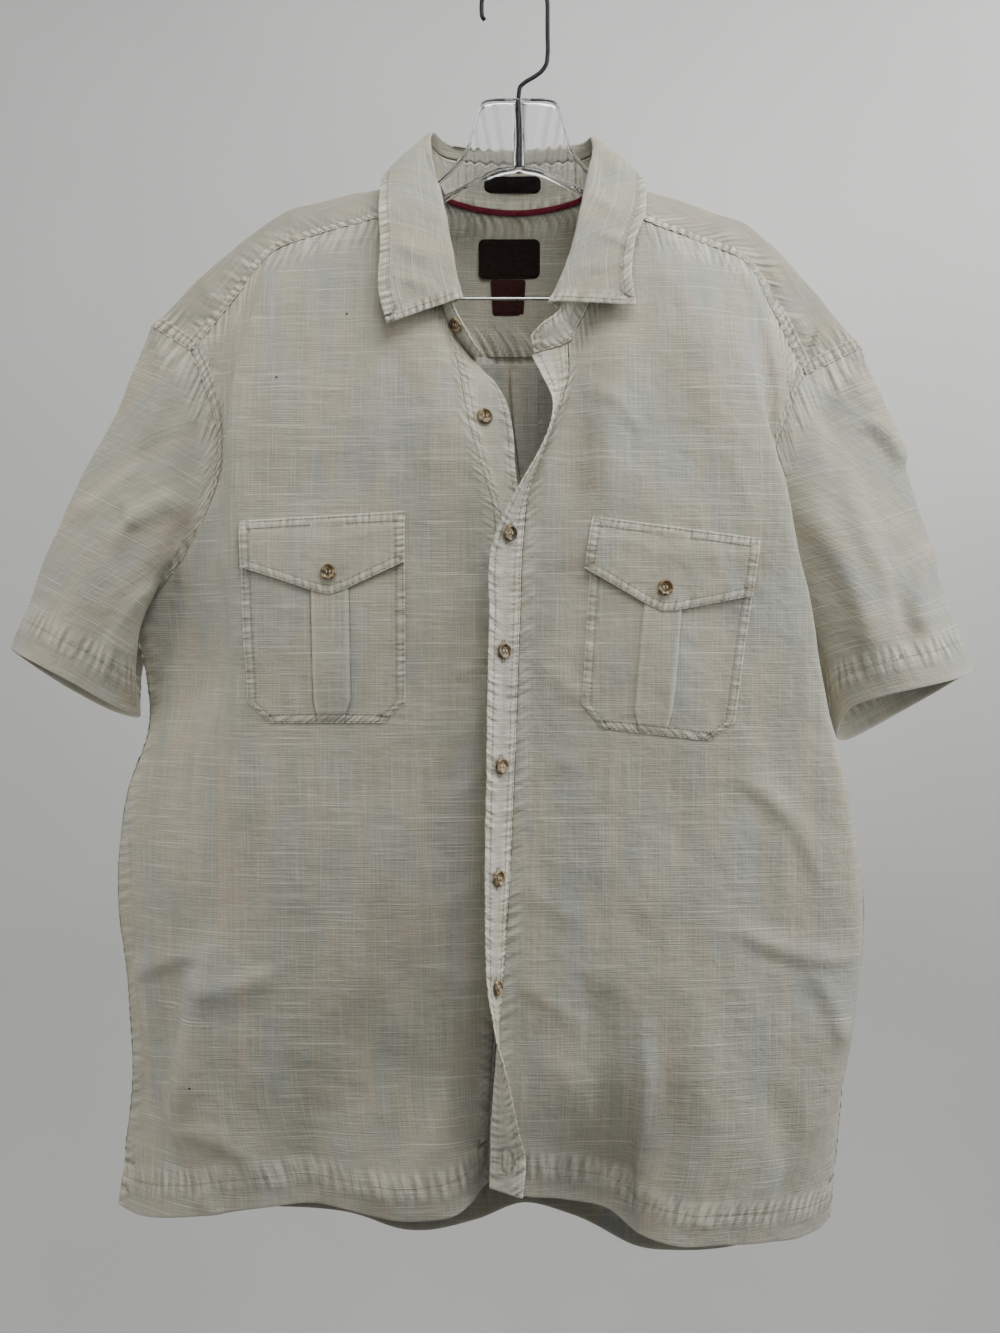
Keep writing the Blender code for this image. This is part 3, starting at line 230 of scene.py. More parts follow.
# Free edges of the two bands. The upper band stands up, and its foot has flipped over outwards
BAND_EDGE_LEFT = rows_of(
    Place, (13, -63, -322), (22, -74, -342), (28, -82, -356), (25, -93, -385), (14, -98, -408),
    (4, -99, -425), (-7, -98, -445), (-17, -97, -470), (-20, -101, -530), (-22, -106, -640),
    (-23, -110, -746), (-21, -114, -812), (-15, -116, -845), (-6, -114, -880), (2, -107, -918),
    (7, -101, -942), (5, -102, -972),
)
BAND_EDGE_RIGHT = rows_of(
    Place, (-32, -49, -328), (-18, -54, -340), (-9, -60, -354), (-2, -64, -380), (0, -66, -410),
    (4, -68, -440), (11, -70, -475), (16, -70, -560), (16, -69, -700), (14, -66, -820), (4, -44, -900),
    (0, -34, -972),
)

# Back of the shirt: seam under the yoke and hem, from the wearer's right to left
YOKE_BACK = rows_of(
    Place, (-264, 29, -385), (-238, 36, -340), (-190, 42, -310), (-100, 46, -304), (0, 48, -305),
    (100, 46, -305), (180, 42, -314), (214, 37, -345), (240, 30, -395),
)
HEM_BACK = rows_of(
    Place, (-323, -1, -1006), (-296, 24, -1012), (-210, 38, -1016), (-140, 46, -1026), (-74, 46, -1041),
    (-30, 40, -1030), (10, 38, -1017), (50, 44, -1028), (104, 50, -1054), (157, 50, -1059),
    (206, 34, -1043), (240, 14, -1026), (257, -3, -1014),
)
BackRow = namedtuple("BackRow", "z depth")
BACK_DEPTH = rows_of(
    BackRow, (-305, 47), (-420, 50), (-560, 50), (-700, 48), (-850, 44), (-1015, 36),
)

# How square the back's level sections are: 2 is an ellipse, more is squarer
RoundRow = namedtuple("RoundRow", "z power")
BACK_ROUNDNESS = rows_of(
    RoundRow, (-380, 2.6), (-480, 1.7), (-560, 1.7), (-700, 2.4), (-1015, 2.6),
)

# The collar, by station from the wearer's right front round the back of the neck to the left front:
# neck seam, top of the stand (where the leaf is sewn on), roll line and free edge of the leaf
CollarRow = namedtuple("CollarRow", "place seam top roll edge")
COLLAR = rows_of(
    CollarRow, ("right end", (-52, -54, -298), (-48, -64, -282), (-44, -66, -279), (-100, -73, -299)),
    ("right front", (-62, -55, -270), (-54, -58, -252), (-50, -60, -246), (-107, -70, -270)),
    ("right, middle", (-73, -50, -240), (-62, -45, -216), (-57, -45, -208), (-106, -62, -234)),
    ("right neck point", (-84, -40, -201), (-71, -30, -174), (-65, -28, -166), (-108, -47, -196)),
    ("right side", (-74, 0, -166), (-72, -2, -140), (-69, -2, -131), (-104, -6, -164)),
    ("right back", (-52, 34, -178), (-55, 33, -142), (-53, 32, -131), (-76, 50, -172)),
    ("back", (0, 46, -184), (0, 45, -144), (0, 44, -133), (0, 62, -182)),
    ("left back", (52, 34, -178), (55, 33, -143), (54, 32, -132), (76, 50, -172)),
    ("left side", (74, 0, -167), (70, -3, -146), (65, -4, -137), (102, -8, -168)),
    ("left neck point", (84, -40, -203), (66, -32, -184), (59, -31, -178), (104, -47, -202)),
    ("left, middle", (73, -52, -244), (57, -50, -229), (51, -51, -223), (94, -63, -232)),
    ("left front", (58, -57, -281), (46, -60, -263), (41, -62, -258), (91, -70, -260)),
    ("left end", (49, -58, -298), (34, -65, -286), (30, -67, -282), (94, -73, -285)),
)

# The stand's ends, which run on past the leaf
EndRow = namedtuple("EndRow", "seam top")
STAND_END_RIGHT = (EndRow((-32, -48, -326), (-28, -66, -319)),)
STAND_END_LEFT = (EndRow((42, -60, -311), (21, -68, -297)), EndRow((15, -63, -321), (12, -66, -307)))

# Ridge of the yoke over the hanger, from the neck out to the shoulder top
RIDGE_RIGHT = rows_of(
    Place, (-74, 0, -166), (-103, 0, -174), (-150, 0, -184), (-182, 0, -192), (-213, 1, -211),
    (-244, 2, -236), (-297, 4, -287),
)
RIDGE_LEFT = rows_of(
    Place, (74, 0, -166), (103, 0, -176), (157, 0, -193), (190, 0, -206), (219, 1, -231), (249, 2, -263),
    (284, 4, -305),
)

# Soft folds of the cloth: where the crest lies at two heights, its height and half-width
FoldRow = namedtuple("FoldRow", "x_top z_top x_foot z_foot height half_width")
FOLDS_RIGHT = rows_of(
    FoldRow, (-88, -660, -47, -985, 5, 16), (-150, -720, -160, -960, -4, 26),
    (-276, -560, -285, -800, 4, 14),
)
FOLDS_LEFT = rows_of(
    FoldRow, (62, -820, 78, -1010, -6, 20), (150, -700, 130, -1000, 4, 30), (60, -330, 40, -440, -4, 16),
)
FOLDS_BACK = rows_of(
    FoldRow, (-160, -420, -200, -1000, 7, 26), (-80, -480, -100, -1030, 6, 24),
    (90, -480, 105, -1030, 7, 26), (170, -430, 190, -1000, 6, 24), (0, -520, 0, -1020, -6, 30),
)

# Buttons down the front, by height. The first is undone and sits on the lower band
ButtonRow = namedtuple("ButtonRow", "band across z lift")
FRONT_BUTTONS = rows_of(
    ButtonRow, ("lower", 0.38, -371, 0.4), ("upper", 0.52, -463, 1.2), ("upper", 0.52, -554, 0.4),
    ("upper", 0.52, -642, 0.4), ("upper", 0.52, -728, 0.4), ("upper", 0.52, -811, 0.4),
)
COLLAR_BUTTON = (0.05, 0.55)
FLAP_BUTTON_DOWN = 0.72

PocketRow = namedtuple("PocketRow", "side top_in top_out foot_in foot_out flap_in flap_out flap_point")
POCKETS = (
    PocketRow("right", (-86, -449), (-215, -456), (-85, -610), (-208, -610),
              (-86, -485), (-212, -489), (-144, -512)),
    PocketRow("left", (60, -454), (191, -470), (50, -612), (168, -626),
              (53, -490), (184, -511), (113, -525)),
)

LabelRow = namedtuple("LabelRow", "name x_low x_high z_low z_high")
YOKE_LABELS = (
    LabelRow("label_main", -30, 22, -239, -206),
    LabelRow("label_size", -20, 10, -270, -240),
)
STAND_LABEL = LabelRow("label_stand", -25.4, 22.6, -167.5, -153.5)

# Hanger, on either side of its middle: the bell above the arms, then the arms. An arm's top follows
# the yoke that hangs on it, dropped by the last column
BellRow = namedtuple("BellRow", "x z")
HANGER_BELL = rows_of(
    BellRow, (0, -101.5), (22, -102), (31, -105), (36, -120), (42, -140), (50, -152), (62, -164),
)
ArmRow = namedtuple("ArmRow", "x drop")
ARM_TOP = rows_of(
    ArmRow, (80, 2), (100, 0), (120, 0), (140, 0), (160, 0), (176, 0), (187, 3), (192, 9),
)
ARM_FOOT = rows_of(
    BellRow, (190, -226), (174, -230), (140, -216), (100, -202), (60, -185), (38, -173.5), (18, -164.5),
)
ARCH_TOP = -161.0

# Creases of the hanging cloth, drawn one by one: a ridge, or a trough where the height is negative, from
# one place to the other across the shirt's front or back, bowed sideways and steeper on one side
Crease = namedtuple("Crease", "x_start z_start x_end z_end bow height half_width lean")
CREASES_RIGHT = rows_of(
    Crease, (-84, -486, -64, -626, 4, 2.2, 9, 0.3), (-64, -626, -46, -716, -3, 1.8, 9, 0.3),
    (-44, -806, -76, -960, 12, 1.8, 12, 0.2), (-306, -818, -250, -793, 3, 2.4, 9, 0.3),
    (-259, -820, -184, -803, -4, 2.2, 10, -0.2), (-262, -930, -204, -952, 4, 2.0, 9, 0.2),
    (-249, -980, -228, -995, 0, 1.8, 8, 0.2), (-232, -470, -216, -560, 3, 2.0, 7, 0.4),
    (-216, -560, -222, -760, -4, 2.2, 8, 0.3), (-228, -770, -262, -920, -5, 2.6, 10, 0.2),
    (-140, -260, -150, -430, 6, -1.2, 22, 0.1), (-178, -250, -196, -410, 5, 1.4, 16, 0.2),
    (-98, -300, -66, -470, -8, -1.6, 15, 0.1), (-30, -520, -44, -690, 6, 1.2, 12, 0.2),
    (-120, -690, -150, -840, 10, 1.0, 20, 0.0), (-206, -640, -150, -760, -10, 1.2, 18, 0.1),
    (-180, -860, -96, -905, 6, 1.2, 14, 0.2), (-100, -740, -60, -860, -6, -1.2, 14, 0.1),
    (-150, -900, -168, -980, 0, -2.0, 16, 0.1), (-110, -900, -104, -985, 0, 1.6, 16, 0.1),
    (-16, -640, -52, -668, 2, 0.8, 6, 0.2), (-16, -552, -48, -572, 2, 0.7, 6, 0.2),
    (-20, -730, -58, -752, -2, 0.8, 7, 0.2), (-22, -812, -64, -800, 2, 0.9, 7, 0.2),
    (-196, -236, -221, -330, 3, 2.4, 6, 0.4), (-221, -322, -224, -480, 1, 3.0, 6.5, 0.4),
    (-236, -318, -241, -430, 2, -2.2, 8, 0.1), (-246, -420, -268, -500, -4, 1.6, 8, 0.2),
    (-301, -812, -260, -948, -5, 3.6, 8, -0.4),
)
CREASES_LEFT = rows_of(
    Crease, (60, -275, 46, -446, -10, -3.0, 12, 0.2), (84, -300, 70, -440, -6, 1.6, 12, 0.1),
    (52, -345, 98, -384, 5, 1.4, 7, 0.3), (170, -652, 238, -734, 12, 2.0, 8, 0.3),
    (172, -770, 262, -800, -6, 2.2, 8, 0.3), (234, -806, 258, -866, 4, 2.2, 8, 0.2),
    (98, -842, 96, -1000, 0, 3.4, 7, 0.5), (118, -858, 126, -1005, 0, -2.0, 12, 0.2),
    (232, -420, 252, -560, -5, 1.6, 9, 0.3), (190, -640, 204, -760, 8, 1.2, 12, 0.2),
    (140, -250, 158, -400, 4, 1.2, 18, 0.1), (196, -300, 214, -460, 3, 1.6, 12, 0.2),
    (16, -560, 56, -590, -3, 0.9, 7, 0.2), (14, -650, 52, -640, 3, 0.8, 7, 0.2),
    (10, -735, 50, -765, -3, 0.9, 7, 0.2), (6, -815, 52, -850, 4, 1.2, 8, 0.2),
    (60, -700, 120, -760, -8, 1.0, 16, 0.1), (40, -880, 70, -960, 6, 1.2, 12, 0.1),
    (150, -840, 180, -980, -10, 1.4, 20, 0.1), (120, -640, 128, -800, 10, -1.0, 18, 0.1),
    (200, -900, 214, -1000, 4, -1.8, 14, 0.1), (180, -236, 205, -330, 3, 2.2, 7, 0.3),
    (205, -322, 212, -420, 2, 2.0, 7, 0.3),
)
CREASES_COLLAR = rows_of(
    Crease, (-88, -262, -60, -280, 2, 1.0, 5, 0.2), (-92, -232, -64, -246, -2, 0.9, 5, 0.2),
    (-80, -196, -58, -216, 2, 1.0, 6, 0.1), (-70, -150, -62, -180, 1, -1.0, 6, 0.1),
    (60, -258, 88, -248, -2, 0.9, 5, 0.2), (64, -226, 92, -240, 2, 1.0, 5, 0.2),
    (62, -190, 84, -206, -2, 1.0, 6, 0.1), (66, -150, 74, -176, 1, -1.0, 6, 0.1),
)
CREASES_BACK = rows_of(
    Crease, (-230, -400, -120, -560, 14, 2.2, 14, 0.2), (224, -410, 120, -580, -14, 2.2, 14, 0.2),
    (-60, -330, -76, -470, 4, 1.4, 9, 0.3), (62, -330, 80, -480, -4, 1.4, 9, 0.3),
    (-280, -700, -190, -760, 8, 1.8, 12, 0.2), (262, -700, 170, -770, -8, 1.8, 12, 0.2),
    (-290, -840, -210, -860, 6, 1.6, 10, 0.2), (250, -850, 180, -900, -6, 1.6, 10, 0.2),
    (-130, -620, -150, -800, 8, 1.4, 16, 0.1), (140, -640, 128, -840, -8, 1.4, 16, 0.1),
    (-40, -700, -20, -900, 6, 1.2, 16, 0.1), (50, -720, 60, -930, 6, 1.2, 16, 0.1),
)
CREASES_YOKE = rows_of(
    Crease, (-100, -178, -86, -215, 2, 1.6, 7, 0.2), (-120, -190, -112, -222, 2, 1.2, 6, 0.2),
    (-176, -198, -190, -236, 3, 1.4, 8, 0.2), (-250, -250, -236, -290, -3, 1.2, 7, 0.2),
    (204, -226, 236, -300, -5, 2.0, 9, 0.3), (220, -238, 228, -262, 2, 1.2, 6, 0.2),
    (112, -186, 100, -220, 2, 1.4, 7, 0.2), (164, -205, 176, -238, 2, 1.2, 8, 0.2),
)
CREASES_SLEEVE_RIGHT = rows_of(
    Crease, (-284, -300, -301, -389, 5, 4.2, 10, 0.3), (-315, -432, -305, -456, 2, 2.6, 7, 0.3),
    (-330, -420, -372, -560, 6, 2.6, 14, 0.2), (-268, -430, -322, -470, -6, 3.4, 9, 0.2),
    (-286, -500, -330, -560, -4, 2.8, 9, 0.2), (-350, -380, -392, -500, 4, 2.0, 10, 0.1),
    (-252, -370, -268, -470, -3, -3.6, 14, 0.1), (-264, -455, -322, -545, 4, -3.2, 14, 0.1),
    (-318, -340, -342, -430, 3, -2.0, 10, 0.1), (-300, -400, -352, -440, 4, 1.6, 7, 0.2),
)
CREASES_SLEEVE_LEFT = rows_of(
    Crease, (286, -366, 315, -402, 4, 4.4, 8, 0.4), (338, -470, 327, -535, -5, 3.2, 10, 0.2),
    (232, -440, 286, -560, 8, 3.4, 12, 0.2), (262, -380, 300, -500, -8, 2.8, 12, 0.1),
    (300, -330, 346, -470, 4, 2.4, 10, 0.1), (250, -350, 268, -440, 3, -2.8, 12, 0.1),
    (300, -470, 318, -560, 3, -2.2, 10, 0.1), (270, -330, 292, -360, 2, 1.8, 7, 0.2),
)
CREASE_DEPTH = 1.45


def blended(start, end, slope_start, slope_end, t):
    """Cubic Hermite curve from start to end, with both slopes given over the whole step."""
    return (
        start * (2 * t**3 - 3 * t**2 + 1) + slope_start * (t**3 - 2 * t**2 + t)
        + end * (3 * t**2 - 2 * t**3) + slope_end * (t**3 - t**2)
    )


def hermite(knots, values, at):
    """Smooth curve through values at rising knots, read at the array at, by cubic Hermite pieces."""
    knots = np.asarray(knots, float)
    values = np.asarray(values, float)
    steps = np.diff(knots)
    rises = np.diff(values, axis=0) / steps.reshape((-1,) + (1,) * (values.ndim - 1))
    slopes = np.empty_like(values)
    slopes[0], slopes[-1] = rises[0], rises[-1]
    before = steps[:-1].reshape((-1,) + (1,) * (values.ndim - 1))
    after = steps[1:].reshape(before.shape)
    slopes[1:-1] = (rises[:-1] * after + rises[1:] * before) / (before + after)
    at = np.clip(np.asarray(at, float), knots[0], knots[-1])
    piece = np.clip(np.searchsorted(knots, at, side="right") - 1, 0, len(steps) - 1)
    width = steps[piece]
    t = (at - knots[piece]) / width
    shape = at.shape + (1,) * (values.ndim - 1)
    t, width = t.reshape(shape), width.reshape(shape)
    return blended(values[piece], values[piece + 1], slopes[piece] * width, slopes[piece + 1] * width, t)


def along(rows, t):
    """Point at the share t of the way along a curve through the rows, by chord length."""
    points = np.array([tuple(row)[-3:] for row in rows], float)
    knots = np.concatenate([[0], np.cumsum(np.linalg.norm(np.diff(points, axis=0), axis=1))])
    return hermite(knots / knots[-1], points, t)


def down(rows, v):
    """Point at the share v of the drop from the first row's height to the last row's."""
    points = np.array([tuple(row)[-3:] for row in rows], float)
    heights = points[0, 2] - points[:, 2]
    return hermite(heights / heights[-1], points, v)


def by_height(rows, z):
    """The columns after the height z, read at the height z."""
    table = np.array([tuple(row) for row in rows], float)
    return hermite(-table[:, 0], table[:, 1:], -np.asarray(z, float))


def smooth_step(t):
    """Rise from 0 to 1 with level ends."""
    t = np.clip(t, 0, 1)
    return t * t * (3 - 2 * t)


def folded(points, folds):
    """Points moved towards -Y by soft folds: each a bell across a crest line that fades at its ends."""
    moved = points.copy()
    for fold in folds:
        share = (fold.z_top - points[..., 2]) / (fold.z_top - fold.z_foot)
        crest = fold.x_top + (fold.x_foot - fold.x_top) * share
        fade = smooth_step(share * 4 + 0.5) * smooth_step((1.4 - share) * 4)
        bell = np.exp(-(((points[..., 0] - crest) / fold.half_width) ** 2))
        moved[..., 1] -= fold.height * fade * bell
    return moved


def at_station(points, s):
    """Smooth curve through points that are one station apart."""
    return hermite(np.arange(len(points)), np.array(points, float), s)


NECK_SIDE = 0.3 + 0.4 / 6
BACK_TURN = 0.15
ACROSS = (0.0, 0.22, 0.44, 0.66, 0.78, 0.89, 1.0)
SIDE_BULGE = (0.0, 0.9, 0.5, 0.0)
Front = namedtuple("Front", "band_seam side_fold armhole side neckline yoke_seam hem swell folds")
FRONTS = {
    "right": Front(BAND_SEAM_RIGHT, SIDE_FOLD_RIGHT, ARMHOLE_FRONT_RIGHT, SIDE_RIGHT,
                   NECKLINE_RIGHT, YOKE_SEAM_RIGHT, HEM_RIGHT, SWELL_RIGHT, FOLDS_RIGHT),
    "left": Front(BAND_SEAM_LEFT, SIDE_FOLD_LEFT, ARMHOLE_FRONT_LEFT, SIDE_LEFT,
                  NECKLINE_LEFT, YOKE_SEAM_LEFT, HEM_LEFT, SWELL_LEFT, FOLDS_LEFT),
}


def front_section(front, u, v):
    """Level section of a front: flat from the band to the side fold, then back to the side seam."""
    inner = down(front.band_seam, v)
    fold = down(front.side_fold, v)
    outer = down(front.armhole + front.side[1:], v)
    swell = by_height(front.swell, fold[..., 2])
    belly, side = swell[..., 0:1], swell[..., 1:2]
    forward = np.array([0.0, -1.0, 0.0])
    level = (outer - fold) * np.array([1.0, 1.0, 0.0])
    length = np.maximum(np.linalg.norm(level, axis=-1, keepdims=True), 1e-6)
    sign = np.sign(outer[..., 0:1])
    outward = np.stack([-level[..., 1], level[..., 0], np.zeros_like(level[..., 0])], -1) / length * -sign
    stations = []
    for share in (0.0, 1 / 3, 2 / 3):
        stations.append(inner + (fold - inner) * share + forward * belly * 4 * share * (1 - share))
    for share, bulge in zip((0.0, 1 / 3, 2 / 3, 1.0), SIDE_BULGE):
        stations.append(fold + (outer - fold) * share + outward * side * bulge)
    return across_stations(stations, u)


def across_stations(stations, u):
    """Hermite curve across seven stations that vary along the other way of the surface."""
    net = np.stack(stations, 0)
    knots = np.array(ACROSS)
    steps = np.diff(knots)
    rises = np.diff(net, axis=0) / steps.reshape(-1, *([1] * (net.ndim - 1)))
    slopes = np.concatenate([rises[:1], rises, rises[-1:]])
    slopes = (slopes[:-1] + slopes[1:]) / 2
    piece = np.clip(np.searchsorted(knots, u, side="right") - 1, 0, len(steps) - 1)
    t = ((u - knots[piece]) / steps[piece])[..., None]
    width = steps[piece][..., None]
    ends = [np.take_along_axis(net, (piece + i)[None, ..., None], 0)[0] for i in (0, 1)]
    tilts = [np.take_along_axis(slopes, (piece + i)[None, ..., None], 0)[0] * width for i in (0, 1)]
    return blended(*ends, *tilts, t)


def front_top(front, u):
    """Top edge of a front: the neckline up to the neck point, then the yoke seam to the armhole."""
    turn = ACROSS[2]
    neck = along(front.neckline[::-1], np.clip(u / turn, 0, 1))
    seam = along(front.yoke_seam, np.clip((u - turn) / (1 - turn), 0, 1))
    return np.where((u < turn)[..., None], neck, seam)


def front_surface(side):
    """Mid-surface of one front: u runs from the band to the side, v from the top edge to the hem."""
    front = FRONTS[side]

    def surface(u, v):
        points = front_section(front, u, v)
        top = front_top(front, u) - front_section(front, u, np.zeros_like(v))
        foot = along(front.hem, u) - front_section(front, u, np.ones_like(v))
        points = points + top * (1 - smooth_step(v / 0.3))[..., None]
        points = points + foot * (1 - smooth_step((1 - v) / 0.16))[..., None]
        return folded(points, front.folds)

    return surface


BANDS = {
    "upper": (BAND_SEAM_LEFT, BAND_EDGE_LEFT, UPPER_BAND_SHIFT),
    "lower": (BAND_SEAM_RIGHT, BAND_EDGE_RIGHT, LOWER_BAND_SHIFT),
}


def band_surface(seam, edge, seam_shift):
    """Strip between the band's seam and its free edge. seam_shift keeps it off the front."""

    def surface(u, v):
        start, end = down(seam, v), down(edge, v)
        reach = np.linalg.norm(end - start, axis=-1, keepdims=True)
        return start + (end - start) * (seam_shift / reach + u[..., None] * (1 - seam_shift / reach))

    return surface


def back_surface(u, v):
    """Mid-surface of the back: u runs from the wearer's right side to the left, slowest at the sides."""
    right = down(ARMHOLE_BACK_RIGHT + SIDE_RIGHT[1:], v)
    left = down(ARMHOLE_BACK_LEFT + SIDE_LEFT[1:], v)
    right[..., 1] += SIDE_GAP
    left[..., 1] += SIDE_GAP
    near = np.minimum(u, 1 - u)
    slope = 1 / (1 - BACK_TURN)
    share = np.where(near < BACK_TURN, near**2 * slope / (2 * BACK_TURN), 0.5 - (0.5 - near) * slope)
    share = np.where(u < 0.5, share, 1 - share)
    points = right + (left - right) * share[..., None]
    depth = by_height(BACK_DEPTH, points[..., 2])[..., 0]
    power = by_height(BACK_ROUNDNESS, points[..., 2])[..., 0]
    swell = (1 - np.abs(2 * share - 1) ** power) ** (1 / power)
    points[..., 1] += (depth - points[..., 1]) * swell
    return points


def back_shaped(u, v):
    """The back with its yoke seam, hem, box pleat and soft folds."""
    points = back_surface(u, v)
    top = along(YOKE_BACK, u) - back_surface(u, np.zeros_like(v))
    foot = along(HEM_BACK, u) - back_surface(u, np.ones_like(v))
    points = points + top * (1 - smooth_step(v / 0.35))[..., None]
    points = points + foot * (1 - smooth_step((1 - v) / 0.2))[..., None]
    pleat = smooth_step((PLEAT_HALF + 3 - np.abs(points[..., 0])) / 5)
    points[..., 1] += BACK_PLEAT_DEPTH * pleat * (1 - smooth_step(v / 0.75))
    return folded(points, FOLDS_BACK)


def yoke_start(u):
    """Front edge of the yoke: right shoulder, neck point, neck seam, left neck point, left shoulder."""
    neck = [row.seam for row in COLLAR[3:10]]
    right = along(YOKE_SEAM_RIGHT[::-1], np.clip(u / 0.3, 0, 1))
    round_neck = at_station(neck, np.clip((u - 0.3) / 0.4, 0, 1) * (len(neck) - 1))
    left = along(YOKE_SEAM_LEFT, np.clip((u - 0.7) / 0.3, 0, 1))
    return np.where((u < 0.3)[..., None], right, np.where((u > 0.7)[..., None], left, round_neck))


def yoke_ridge(u):
    """Top of the yoke's arch over the hanger; past the side of the neck, the neck seam itself."""
    outside = np.clip((0.3 - np.minimum(u, 1 - u)) / 0.3, 0, 1)
    beside = np.clip((NECK_SIDE - np.minimum(u, 1 - u)) / (NECK_SIDE - 0.3), 0, 1)
    reach = 0.08 * beside + 0.92 * outside
    crest = np.where((u < 0.5)[..., None], along(RIDGE_RIGHT, reach), along(RIDGE_LEFT, reach))
    return np.where((beside > 0)[..., None], crest, yoke_start(u)), beside


def yoke_surface(u, v):
    """The yoke: v runs from its front edge over the hanger's arm to the seam across the back."""
    start, end = yoke_start(u), along(YOKE_BACK, u)
    crest, beside = yoke_ridge(u)
    turn = 0.34 * beside + 1e-3
    first = (v / turn)[..., None]
    second = ((v - turn) / (1 - turn))[..., None]
    slope = (end - start) * np.array([0.6, 0.6, 0.15])
    rise = start + (crest - start) * first + bend(first, start, crest, slope * turn[..., None])
    fall = crest + (end - crest) * second
    fall = fall + bend_out(second, crest, end, slope * (1 - turn[..., None]) * 1.6)
    return np.where((v < turn)[..., None], rise, fall)


def bend(t, start, end, slope_end):
    """Hermite term that makes a straight run from start to end arrive with the slope slope_end."""
    return (slope_end - (end - start)) * (t**3 - t**2)


def bend_out(t, start, end, slope_start):
    """Hermite term that makes a straight run leave with the slope slope_start."""
    return (slope_start - (end - start)) * (t**3 - 2 * t**2 + t)


# Stations of the cuff tables, counted round the arm from the shoulder down the front
ARM_STATIONS = 12
Sleeve = namedtuple("Sleeve", "cuff yoke_end front back side")
SLEEVES = {
    "right": Sleeve(CUFF_RIGHT, 0.0, ARMHOLE_FRONT_RIGHT, ARMHOLE_BACK_RIGHT, SIDE_RIGHT),
    "left": Sleeve(CUFF_LEFT, 1.0, ARMHOLE_FRONT_LEFT, ARMHOLE_BACK_LEFT, SIDE_LEFT),
}


def armhole(sleeve, s):
    """Closed armhole, by the cuff table's stations: the ends of the front, the back and the yoke."""
    def share(rows):
        heights = np.array([row.z for row in rows], float)
        return (heights[0] - heights) / (heights[0] - sleeve.side[-1].z)

    s = np.mod(s, ARM_STATIONS)
    front = down(sleeve.front + sleeve.side[1:], np.interp(s, np.arange(1, 7), share(sleeve.front)))
    back = down(sleeve.back + sleeve.side[1:], np.interp(s, np.arange(6, 10), share(sleeve.back)[::-1]))
    over = np.interp(np.where(s < 6, s + 12, s), [9, 10, 11, 12, 13], [1.0, 0.78, 0.56, 0.341, 0.0])
    yoke = yoke_surface(np.full_like(s, sleeve.yoke_end), over)
    on_front, on_back = (s >= 1) & (s < 6), (s >= 6) & (s < 9)
    return np.where(on_front[..., None], front, np.where(on_back[..., None], back, yoke))


def cuff(sleeve, s):
    """Closed cuff edge, with the swell of the sleeve above it as a fourth column."""
    points = np.array([(row.x, row.y, row.z, row.out) for row in sleeve.cuff], float)
    wrapped = np.concatenate([points[-3:], points, points[:3]])
    return hermite(np.arange(len(wrapped)) - 3, wrapped, np.mod(s, ARM_STATIONS))


def sleeve_surface(side):
    """Tube from the armhole to the cuff: u runs round it from the shoulder down the front."""
    sleeve = SLEEVES[side]

    def surface(u, v):
        s = u * ARM_STATIONS
        first, last = armhole(sleeve, s), cuff(sleeve, s)
        swell, last = last[..., 3:], last[..., :3]
        out = np.sign(first[..., 0:1]) * np.array([1.0, 0.0, 0.0])
        along_arm = unit(last - first)
        leave = along_arm * (0.3 + 0.7 * np.cos(np.pi * s / 6))[..., None] + 1.6 * out
        first = first + unit(leave) * SLEEVE_GAP
        t = v[..., None]
        points = first + (last - first) * t + out * swell * (t**3 - 2 * t**2 + t)
        middle = (cuff(sleeve, s * 0)[..., 1] + cuff(sleeve, s * 0 + 6)[..., 1]) / 2
        points[..., 1] += (points[..., 1] - middle) * SLEEVE_FULLNESS * np.sin(np.pi * v) ** 2
        return points

    return surface


def stand_surface(u, v):
    """Collar stand, from the neck seam up to the leaf's foot and on past its ends."""
    rows = STAND_END_RIGHT + COLLAR + STAND_END_LEFT
    s = u * (len(rows) - 1)
    seam, top = at_station([row.seam for row in rows], s), at_station([row.top for row in rows], s)
    lift = unit(top - seam)
    return seam + lift * STAND_LIFT + (top - lift * 0.3 - seam - lift * STAND_LIFT) * v[..., None]


def leaf_surface(u, v):
    """Collar leaf: up from the stand, over its rounded roll and down outside to the free edge."""
    s = u * (len(COLLAR) - 1)
    seam, top, roll, edge = (at_station([row[i] for row in COLLAR], s) for i in (1, 2, 3, 4))
    lift = unit(top - seam)
    fall = unit(edge - roll)
    step = 1e-2
    rolls = [row.roll for row in COLLAR]
    run = at_station(rolls, s + step) - at_station(rolls, s - step)
    out = unit(np.cross(run, fall))
    foot = top + lift * 1.1
    middle = (roll + edge) / 2 + out * LEAF_BOW
    outside = roll + out * ROLL_HALF + fall * ROLL_HALF
    path = [foot, roll - out * ROLL_HALF, roll - fall * ROLL_HALF, outside, middle, edge]
    knots = np.array([0, 1, 2, 3, 5.5, 8]) / 8
    steps = np.diff(knots)[:, None, None]
    net = np.stack(path)
    rises = np.diff(net, axis=0) / steps
    slopes = np.concatenate([rises[:1], (rises[:-1] + rises[1:]) / 2, rises[-1:]])
    piece = np.clip(np.searchsorted(knots, v, side="right") - 1, 0, len(knots) - 2)
    width = np.diff(knots)[piece][..., None]
    t = (v[..., None] - knots[piece][..., None]) / width
    spot = np.arange(len(v))
    tilts = [slopes[piece + i, spot] * width for i in (0, 1)]
    return blended(net[piece, spot], net[piece + 1, spot], *tilts, t)


